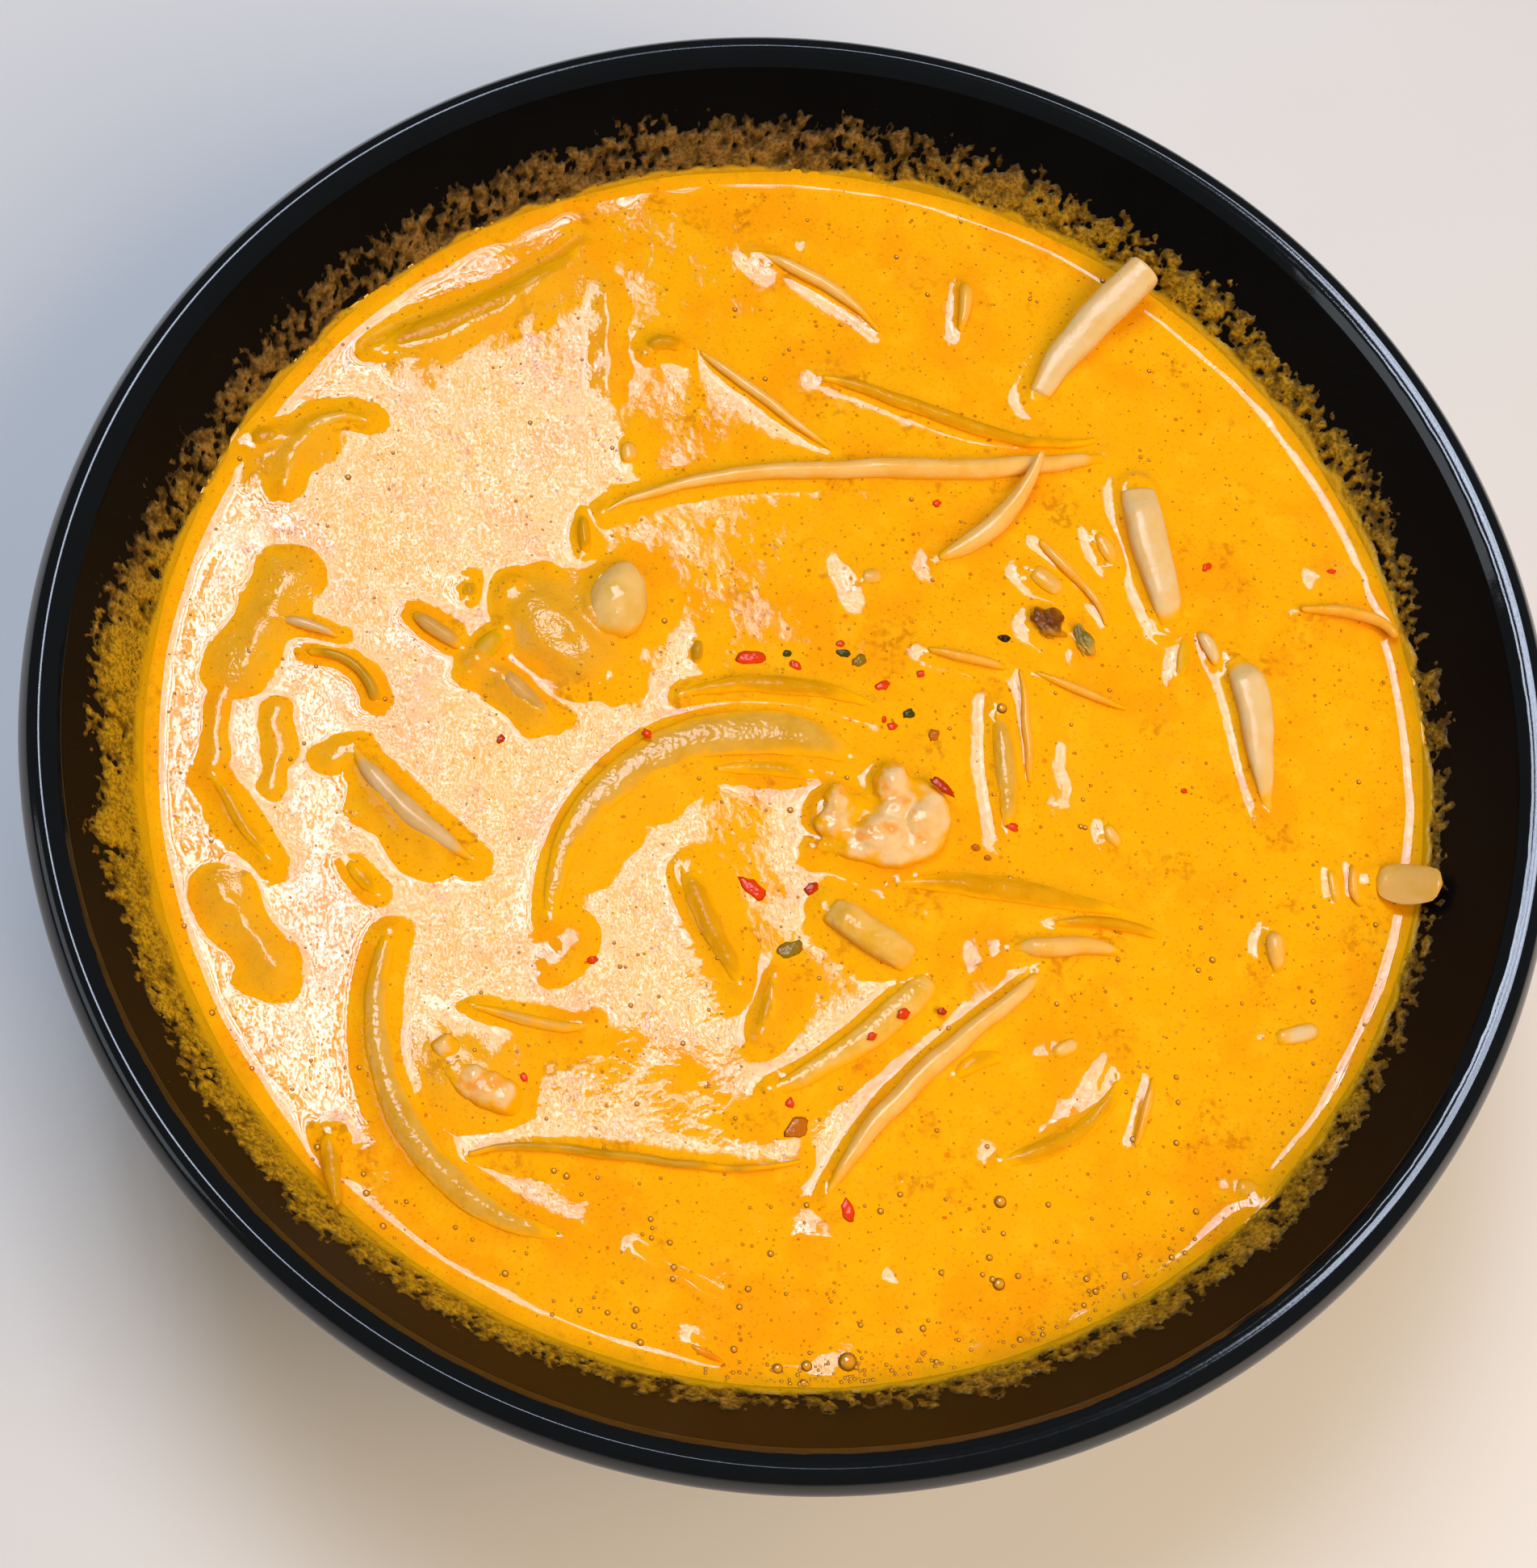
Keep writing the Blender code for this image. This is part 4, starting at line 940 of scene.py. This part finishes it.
class Paint:
    """A Principled material, with its fixed values set on the shader's own sockets."""

    def __init__(self, name, **fixed):
        self.material = bpy.data.materials.new(name)
        self.material.use_nodes = True
        self.tree = self.material.node_tree
        self.shader = self.tree.nodes["Principled BSDF"]
        for key, value in fixed.items():
            self.shader.inputs[socket_name(key)].default_value = value

    def node(self, kind, settings=None, sockets=None, out=0):
        """Adds any node: its settings first, then its sockets' values or links."""
        node = self.tree.nodes.new(kind)
        for key, value in (settings or {}).items():
            setattr(node, key, value)
        for key, value in (sockets or {}).items():
            socket = find(node.inputs, key)
            if isinstance(value, Wire):
                self.tree.links.new(value.socket, socket)
            else:
                socket.default_value = value
        return Wire(self, find(node.outputs, out))

    def place(self, stretch=(1.0, 1.0, 1.0)):
        """Object coordinates in metres, stretched along each axis."""
        spot = self.node("ShaderNodeTexCoord", out="Object")
        return self.node("ShaderNodeMapping", {}, {"Vector": spot, "Scale": stretch})

    def noise(self, size, detail=2.0, roughness=0.5, stretch=(1.0, 1.0, 1.0)):
        """Noise from 0 to 1 with features of about `size` mm."""
        sockets = {"Vector": self.place(stretch), "Scale": 1.0 / (size * MM), "Detail": detail}
        sockets["Roughness"] = roughness
        return self.node("ShaderNodeTexNoise", {}, sockets)

    def specks(self, cell, reach, share):
        """Round specks: 1 inside the radius `reach` mm of a share of the cells' points."""
        sockets = {"Vector": self.place(), "Scale": 1.0 / (cell * MM)}
        near = self.node("ShaderNodeTexVoronoi", {}, sockets, "Distance")
        tone = self.node("ShaderNodeTexVoronoi", {}, sockets, "Color")
        pick = self.node("ShaderNodeSeparateColor", {}, {"Color": tone}, 0)
        size = reach / cell
        return (1.0 - near.step(0.7 * size, 1.3 * size)) * pick.step(1.0 - share, 1.001 - share)

    def value(self, name):
        """The number that the mesh holds for each point under this name."""
        return self.node("ShaderNodeAttribute", {"attribute_name": name}, out="Fac")

    def mix(self, share, first, second):
        """Colour `first` where the share is 0 and `second` where it is 1."""
        ends = {"Factor_Float": share}
        for key, colour in (("A_Color", first), ("B_Color", second)):
            ends[key] = colour if isinstance(colour, Wire) else (*colour, 1.0)
        return self.node("ShaderNodeMix", {"data_type": "RGBA"}, ends, "Result_Color")

    def layers(self, colour, *coats):
        """A colour with coats over it: each coat is how much it covers, and its colour."""
        for share, coat in coats:
            colour = self.mix(share, colour, coat)
        return colour

    def bump(self, height, depth, strength=1.0, under=None):
        """Relief of `depth` mm for a height from 0 to 1."""
        sockets = {"Height": height, "Distance": depth * MM, "Strength": strength}
        if under is not None:
            sockets["Normal"] = under
        return self.node("ShaderNodeBump", {}, sockets)

    def wear(self, **links):
        """Links what changes over the surface to the shader, and gives the material."""
        for key, wire in links.items():
            self.tree.links.new(wire.socket, self.shader.inputs[socket_name(key)])
        return self.material


ORANGE = (0.98, 0.434, 0.0005)
DEEP_ORANGE = (0.96, 0.345, 0.0005)
LIGHT_ORANGE = (0.98, 0.495, 0.0050)
EDGE_ORANGE = (0.68, 0.35, 0.001)        # where the soup thins out against the wall
WET_ORANGE = (0.66, 0.36, 0.001)         # fresh soup on the wall
FILM_ORANGE = (0.96, 0.44, 0.0005)       # soup over a topping
CREASE_ORANGE = (0.94, 0.33, 0.010)      # soup in a shrimp's folds
SHOWING = (0.78, 0.385, 0.020)           # what is sunk, seen through the soup
SPECK_BROWN = (0.42, 0.110, 0.001)
SPECK_RED = (0.66, 0.075, 0.001)
EDGE_BAND = (0.0925, 0.0952)             # radii, in metres, where the edge's orange sets in
RIPPLE_END = (0.0880, 0.0915)            # and where the soup's fine ripples end


def soup_colour(paint):
    """The soup's orange: slow zones of redder and lighter soup, and fine specks of spice."""
    zones = paint.noise(13.0, 3.0).step(0.46, 0.64)
    light = paint.noise(5.0, 3.0, 0.6).step(0.50, 0.70)
    murky = paint.noise(9.0, 4.0, 0.65).step(0.56, 0.68) * paint.noise(1.1, 2.0).step(0.4, 0.6)
    powder = paint.noise(0.5, 2.0, 0.7).step(0.54, 0.80)
    clusters = paint.noise(7.0, 2.0).step(0.50, 0.62)
    return paint.layers(
        ORANGE,
        (zones * 0.70, DEEP_ORANGE),
        (light * 0.6, LIGHT_ORANGE),
        (murky * 0.50, SPECK_BROWN),
        (powder * 0.55, SPECK_BROWN),
        (paint.specks(1.5, 0.18, 0.65) * 0.8, SPECK_BROWN),
        (paint.specks(1.9, 0.30, 0.6) * clusters * 0.8, SPECK_BROWN),
        (paint.specks(4.2, 0.26, 0.45) * 0.8, SPECK_RED),
        (paint.specks(7.5, 0.45, 0.25) * 0.5, SPECK_RED),
    )


def soup_material():
    """Glossy soup, with a film of fat on it that mirrors more in some grains than in others."""
    paint = Paint("soup", ior=1.45, coat_roughness=0.04, coat_ior=1.5)
    split = paint.node("ShaderNodeSeparateXYZ", {}, {0: paint.place()}, "X").socket.node
    x, y = (Wire(paint, split.outputs[axis]) for axis in "XY")
    radius = (x * x + y * y) ** 0.5
    open_soup = 1.0 - radius.step(*RIPPLE_END)
    shows = paint.value("shows")
    grain = paint.bump(paint.noise(0.75, 1.0, 0.5) * open_soup, 0.008)
    grain = paint.bump(paint.noise(0.55, 1.0, 0.5) * shows, 0.11, under=grain)
    small = paint.bump(paint.noise(1.7, 1.0, 0.5) * open_soup, 0.017, under=grain)
    waves = paint.bump(paint.noise(2.6, 1.5, 0.5) * open_soup, 0.060, under=small)
    fat = paint.noise(0.6, 2.0, 0.6).step(0.48, 0.60) * paint.noise(4.0, 2.0).step(0.25, 0.55)
    fat = fat * (0.7 - shows * 0.6)
    edge = (radius + (paint.noise(4.0) - 0.5) * 0.003).step(*EDGE_BAND)
    colour = paint.layers(soup_colour(paint), (shows * 0.75, SHOWING), (edge * 0.65, EDGE_ORANGE))
    gloss = shows * 0.04 + 0.03
    return paint.wear(base_color=colour, normal=waves, coat_weight=fat, roughness=gloss)


def bowl_material(inner):
    """Black melamine.  The inside is dull and mirrors little; past the worn step of the lip and
    outside it has a satin gloss."""
    name = "bowl_inside" if inner else "bowl_outside"
    paint = Paint(name, ior=1.18 if inner else 1.65)
    scuffs = paint.noise(0.8, 4.0, 0.7, (1.0, 1.0, 0.3))
    tone = paint.noise(14.0, 3.0)
    if inner:
        colour = paint.mix(tone, (0.0016, 0.0020, 0.0024), (0.0034, 0.0042, 0.0050))
        roughness = scuffs * 0.14 + 0.24
    else:
        colour = paint.mix(tone, (0.0022, 0.0034, 0.0044), (0.0036, 0.0054, 0.0070))
        roughness = scuffs * 0.10 + 0.04
    grain = paint.bump(paint.noise(0.5, 3.0, 0.6), 0.006)
    return paint.wear(base_color=colour, roughness=roughness, normal=grain)


def residue_material():
    """Dried soup: orange and wet at the foot, then yellow or brown, and dark where it is thin,
    with a painted highlight, a lighter beige on the tops of its relief higher up the wall.
    """
    paint = Paint("dried_soup", ior=1.4)
    thick, wet, up = paint.value("thick"), paint.value("wet"), paint.value("up")
    mottle = paint.noise(1.3, 4.0, 0.65)
    hue = (paint.value("yellow") - up * 0.45 + (paint.noise(6.0) - 0.5) * 0.5).step(0.0, 0.7)
    body = (thick * 1.3 + mottle * 1.5 - 0.66).step(0.0, 0.9)
    thin = paint.mix(hue, (0.014, 0.009, 0.003), (0.085, 0.043, 0.002))
    full = paint.mix(hue, (0.26, 0.145, 0.036), (0.52, 0.300, 0.006))
    gaps = paint.noise(0.55, 3.0, 0.6).step(0.42, 0.62) * (1.0 - wet)
    # painted highlight: the tops of the relief, higher up the wall, are given a lighter beige
    crest = mottle.step(0.56, 0.75) * up.step(0.4, 0.9) * body
    pits = paint.specks(1.15, 0.17, 0.55) * (1.0 - wet * 0.5)
    colour = paint.layers(
        thin,
        (body, full),
        (gaps * 0.60, (0.040, 0.022, 0.003)),
        # the painted highlight on the relief's tops
        (crest * 0.6, (0.50, 0.29, 0.06)),
        (wet * 0.9, WET_ORANGE),
        (pits * 0.85, (0.012, 0.008, 0.002)),
    )
    relief = paint.bump(mottle, 0.30, 0.9)
    return paint.wear(base_color=colour, roughness=0.40 - wet * 0.22 + mottle * 0.1, normal=relief)


# name: crest colour, deep colour, how much the film hides, bump size and depth in mm,
# roughness, scatter.
TOPPINGS = {
    "pale_strip": ((0.80, 0.58, 0.27), (0.80, 0.51, 0.17), 1.0, 0.9, 0.07, 0.24, 0.35),
    "sprout": ((0.90, 0.54, 0.15), (0.89, 0.47, 0.07), 1.0, 0.9, 0.06, 0.14, 0.30),
    "root": ((0.89, 0.46, 0.06), (0.87, 0.40, 0.015), 1.0, 0.8, 0.08, 0.13, 0.25),
    "bean": ((0.74, 0.49, 0.22), (0.68, 0.42, 0.12), 0.95, 0.9, 0.05, 0.20, 0.25),
    "dull": ((0.69, 0.39, 0.10), (0.62, 0.33, 0.05), 0.95, 0.9, 0.05, 0.20, 0.25),
    "onion": ((0.73, 0.40, 0.05), (0.66, 0.33, 0.015), 1.0, 0.9, 0.14, 0.03, 0.10),
    "onion_pale": ((0.84, 0.50, 0.10), (0.78, 0.42, 0.03), 1.0, 0.9, 0.14, 0.05, 0.20),
    "petal": ((0.80, 0.47, 0.12), (0.76, 0.42, 0.06), 0.95, 0.9, 0.08, 0.16, 0.20),
    "amber": ((0.74, 0.335, 0.003), (0.68, 0.29, 0.001), 1.0, 0.8, 0.11, 0.05, 0.0),
    "skin": ((0.62, 0.31, 0.015), (0.50, 0.24, 0.002), 0.95, 0.7, 0.06, 0.08, 0.0),
    "leaf": ((0.78, 0.40, 0.001), (0.66, 0.35, 0.001), 0.85, 0.8, 0.06, 0.36, 0.05),
    "chili": ((0.86, 0.20, 0.003), (0.76, 0.12, 0.002), 0.60, 0.8, 0.05, 0.20, 0.05),
    "shrimp": ((0.88, 0.60, 0.28), (0.87, 0.50, 0.14), 1.0, 1.0, 0.15, 0.04, 0.35),
    "chunk": ((0.84, 0.54, 0.17), (0.78, 0.47, 0.09), 0.95, 1.4, 0.11, 0.10, 0.25),
    "meat": ((0.36, 0.12, 0.006), (0.16, 0.040, 0.002), 0.50, 0.9, 0.35, 0.14, 0.05),
    "green": ((0.46, 0.34, 0.09), (0.20, 0.15, 0.02), 0.50, 0.8, 0.25, 0.16, 0.05),
}


LESS_GLOSSY = ("amber", "skin", "leaf", "dull")
SPARKLING = ("onion", "onion_pale", "shrimp", "chunk", "amber")      # their relief is smooth


def topping_material(name):
    """A topping's own colours in soft patches, and the soup's orange where it is covered."""
    crest, deep, film_share, size, depth, roughness, scatter = TOPPINGS[name]
    ior = 1.24 if name in LESS_GLOSSY else 1.45
    paint = Paint(name, subsurface_weight=scatter, subsurface_scale=0.0010, ior=ior)
    patches = paint.noise(4.0, 3.0, 0.55)
    colour = paint.mix(patches.step(0.36, 0.68), crest, deep)
    colour = paint.mix(paint.specks(2.3, 0.14, 0.3) * 0.5, colour, SPECK_BROWN)
    film = paint.value("film")
    covered = (film + (patches - 0.5) * 0.5).step(0.06, 0.86)
    if name == "shrimp":
        colour = paint.mix(paint.value("crease") * 0.8, colour, CREASE_ORANGE)
    colour = paint.mix(covered * film_share, colour, FILM_ORANGE)
    relief = paint.bump(paint.noise(size, 1.0 if name in SPARKLING else 3.0, 0.5), depth)
    fine = paint.noise(0.8, 2.0) * 0.12
    return paint.wear(base_color=colour, roughness=fine + (roughness - 0.06), normal=relief)


def flake_material():
    """A flake's own colour, mottled with a darker red."""
    paint = Paint("flakes", ior=1.36)
    own = paint.node("ShaderNodeAttribute", {"attribute_name": "tint"}, out="Color")
    mottle = paint.noise(0.7, 2.0).step(0.35, 0.75)
    colour = paint.mix(mottle * 0.30, own, (0.34, 0.030, 0.0005))
    relief = paint.bump(paint.noise(0.8, 1.0), 0.14)
    return paint.wear(base_color=colour, roughness=0.08 + mottle * 0.12, normal=relief)


def bubble_material():
    """A bubble: painted shade at its foot, the dark ring that a clear bubble shows where its film
    is seen edge on, and soup-coloured on top.
    """
    paint = Paint("bubbles", roughness=0.02, ior=2.0)
    dome = paint.value("dome")
    # painted shade: dark brown at the foot of each dome, soup orange on top
    colour = paint.mix(dome.step(0.35, 0.95), (0.11, 0.030, 0.001), (0.80, 0.34, 0.010))
    return paint.wear(base_color=colour)


# ======== making the pieces
def attach(obj, slot, *nodes):
    """Lets a piece ride on the body and hides the solids that it stands for; its slot is not used.
    """
    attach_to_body(obj, "root")
    if nodes:
        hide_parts(*nodes)


def make_toppings():
    """Each strand, lump and shrimp as a piece of its own, in place of its solid."""
    materials = {name: topping_material(name) for name in TOPPINGS}
    for number, (name, piece) in enumerate(SHAPES.items()):
        finish = FINISHES.get(name, piece.kind)
        heap = Heap()
        strand_parts(LINES[name], KINDS[piece.kind], 100 + 11 * number, heap)
        obj = heap.build(name + "_piece", materials[finish])
        attach(obj, SLOTS[finish], *([name] if name in PIECES else []))
    for name, point, finish, slot, rough in (
        ("onion_chunk", 0.34, "chunk", "onion", 0.09),
        ("meat_scrap", 0.0, "meat", "meat", 0.5),
        ("green_scrap", 0.0, "green", "leaf", 0.5),
    ):
        heap = Heap()
        shape = LUMPS[name]
        blob_parts(shape._replace(out=shape.out + 0.3), 900 + len(name), heap, point, rough)
        attach(heap.build(name + "_piece", materials[finish]), slot, name)
    flesh = materials["shrimp"]
    for name, body, lumps, seed, depth in (
        ("shrimp_large", SHRIMP_BODY, SHRIMP_LUMPS + SHRIMP_FLESH, 501, 1.35),
        ("shrimp_small", SMALL_SHRIMP, SMALL_FLESH, 601, 0.85),
    ):
        attach(shrimp_piece(name, body, lumps, seed, depth, flesh), "shrimp", name)


# The camera, fitted to the photograph: its place in metres, how far it is turned and how far
# tilted from straight above, in degrees, and its lens in mm.
CAMERA_PLACE = (-0.04585, -0.1380, 0.43855)
CAMERA_TURN, CAMERA_TILT = -17.7, 19.9
LENS = 63.03

# The ceiling's light: its height in metres, how many degrees it is turned and about which
# point, in mm, and its strength.
CEILING_HEIGHT = 1.06
CEILING_TURN = 15.0
CEILING_PIVOT = (-40.0, 402.0)
CEILING_STRENGTH = 0.99
# Its tubes and the dimmer panels between them, in mm: where each one begins, from there on its
# near and its far side, where its two ends lie, and its radiance.
TUBES = (
    (range(-130, 10, 36), 0, 13, 150, 690, 15.5),
    (range(-130, 10, 36), 13, 36, 150, 690, 4.2),
    ((14,), 0, 12, 150, 690, 18.0),
    ((26,), 0, 18, 150, 690, 4.0),
    ((44,), 0, 10, 150, 690, 18.0),
    ((62,), 0, 6, 150, 690, 14.0),
    ((79,), 0, 4, 150, 690, 13.0),
    ((-334, -274, -216, -172), 0, 26, 150, 760, 21.0),
    ((-334, -274, -216, -172), 26, 44, 150, 760, 3.2),
    ((-130,), 0, 160, 690, 714, 19.0),
    ((-130,), 0, 160, 738, 762, 18.0),
)
WARM = (1.0, 0.76, 0.52)
WINDOW = (0.70, 0.80, 1.0)
COOL = (0.84, 0.93, 1.0)
# The lamps beside the bowl: place, width and height in metres, radiance and colour.
SIDE_LAMPS = (
    ((0.34, -0.28, 0.58), 0.5, 0.5, 5.8, WARM),
    ((-1.25, -0.25, 0.75), 0.9, 0.7, 1.0, COOL),
)
LAMP_TARGET = Vector((0.0, 0.0, 0.05))


def ceiling_lamps():
    """Place, width, height, radiance and colour of each tube and panel of the ceiling."""
    for lefts, near, far, low, high, glow in TUBES:
        for left in lefts:
            x = 0.5 * (left + near + left + far) - CEILING_PIVOT[0]
            y = 0.5 * (low + high) - CEILING_PIVOT[1]
            x, y = turned(*CEILING_PIVOT, x, y, CEILING_TURN)
            spot = (x * MM, y * MM, CEILING_HEIGHT)
            width, height = (far - near) * MM, (high - low) * MM
            yield spot, width, height, CEILING_STRENGTH * glow, WINDOW


def make_room():
    """The pale floor, the camera at the photograph's angle, and the studio's soft lights."""
    bpy.ops.mesh.primitive_plane_add(size=6.0, location=(0.0, 0.0, 0.0))
    floor = bpy.context.object
    floor.name = "floor"
    paint = Paint("floor", roughness=0.7)
    tone = paint.mix(paint.noise(60.0, 2.0), (0.76, 0.76, 0.75), (0.80, 0.80, 0.79))
    floor.data.materials.append(paint.wear(base_color=tone))

    lens = bpy.data.cameras.new("camera")
    lens.lens = LENS
    lens.sensor_width = 36.0
    lens.clip_start = 0.01
    camera = put("camera", lens)
    azimuth, tilt = math.radians(CAMERA_TURN), math.radians(CAMERA_TILT)
    back = Vector((math.sin(azimuth), -math.cos(azimuth), 0.0)) * math.sin(tilt)
    back.z = math.cos(tilt)
    right = (-back).cross(Vector((0.0, 1.0, 0.0))).normalized()
    turn = Matrix((right, right.cross(-back), back)).transposed().to_4x4()
    camera.matrix_world = Matrix.Translation(CAMERA_PLACE) @ turn
    bpy.context.scene.camera = camera

    for number, row in enumerate((*ceiling_lamps(), *SIDE_LAMPS)):
        spot, width, height, radiance, colour = row
        lamp = bpy.data.lights.new(f"lamp_{number}", "AREA")
        lamp.shape = "RECTANGLE"
        lamp.size = width
        lamp.size_y = height
        lamp.energy = radiance * math.pi * width * height
        lamp.color = colour
        obj = put(lamp.name, lamp)
        obj.location = spot
        obj.rotation_euler = (0.0, 0.0, math.radians(CEILING_TURN))
        if row in SIDE_LAMPS:
            aim = LAMP_TARGET - Vector(spot)
            obj.rotation_euler = aim.to_track_quat("-Z", "Y").to_euler()
        obj.visible_glossy = colour != WARM      # the soup mirrors no warm lamp
    world = bpy.data.worlds.new("studio")
    world.use_nodes = True
    world.node_tree.nodes["Background"].inputs["Color"].default_value = (0.07, 0.07, 0.07, 1.0)
    bpy.context.scene.world = world
    bpy.context.scene.view_settings.view_transform = "Standard"


make_room()
attach(bowl_piece(bowl_material(True), bowl_material(False)), "bowl", "bowl")
attach(soup_piece(soup_material()), "soup", "soup")
attach(residue_piece(residue_material()), "soup")
attach(flakes_piece(flake_material()), "soup")
attach(bubbles_piece(bubble_material()), "soup")
make_toppings()
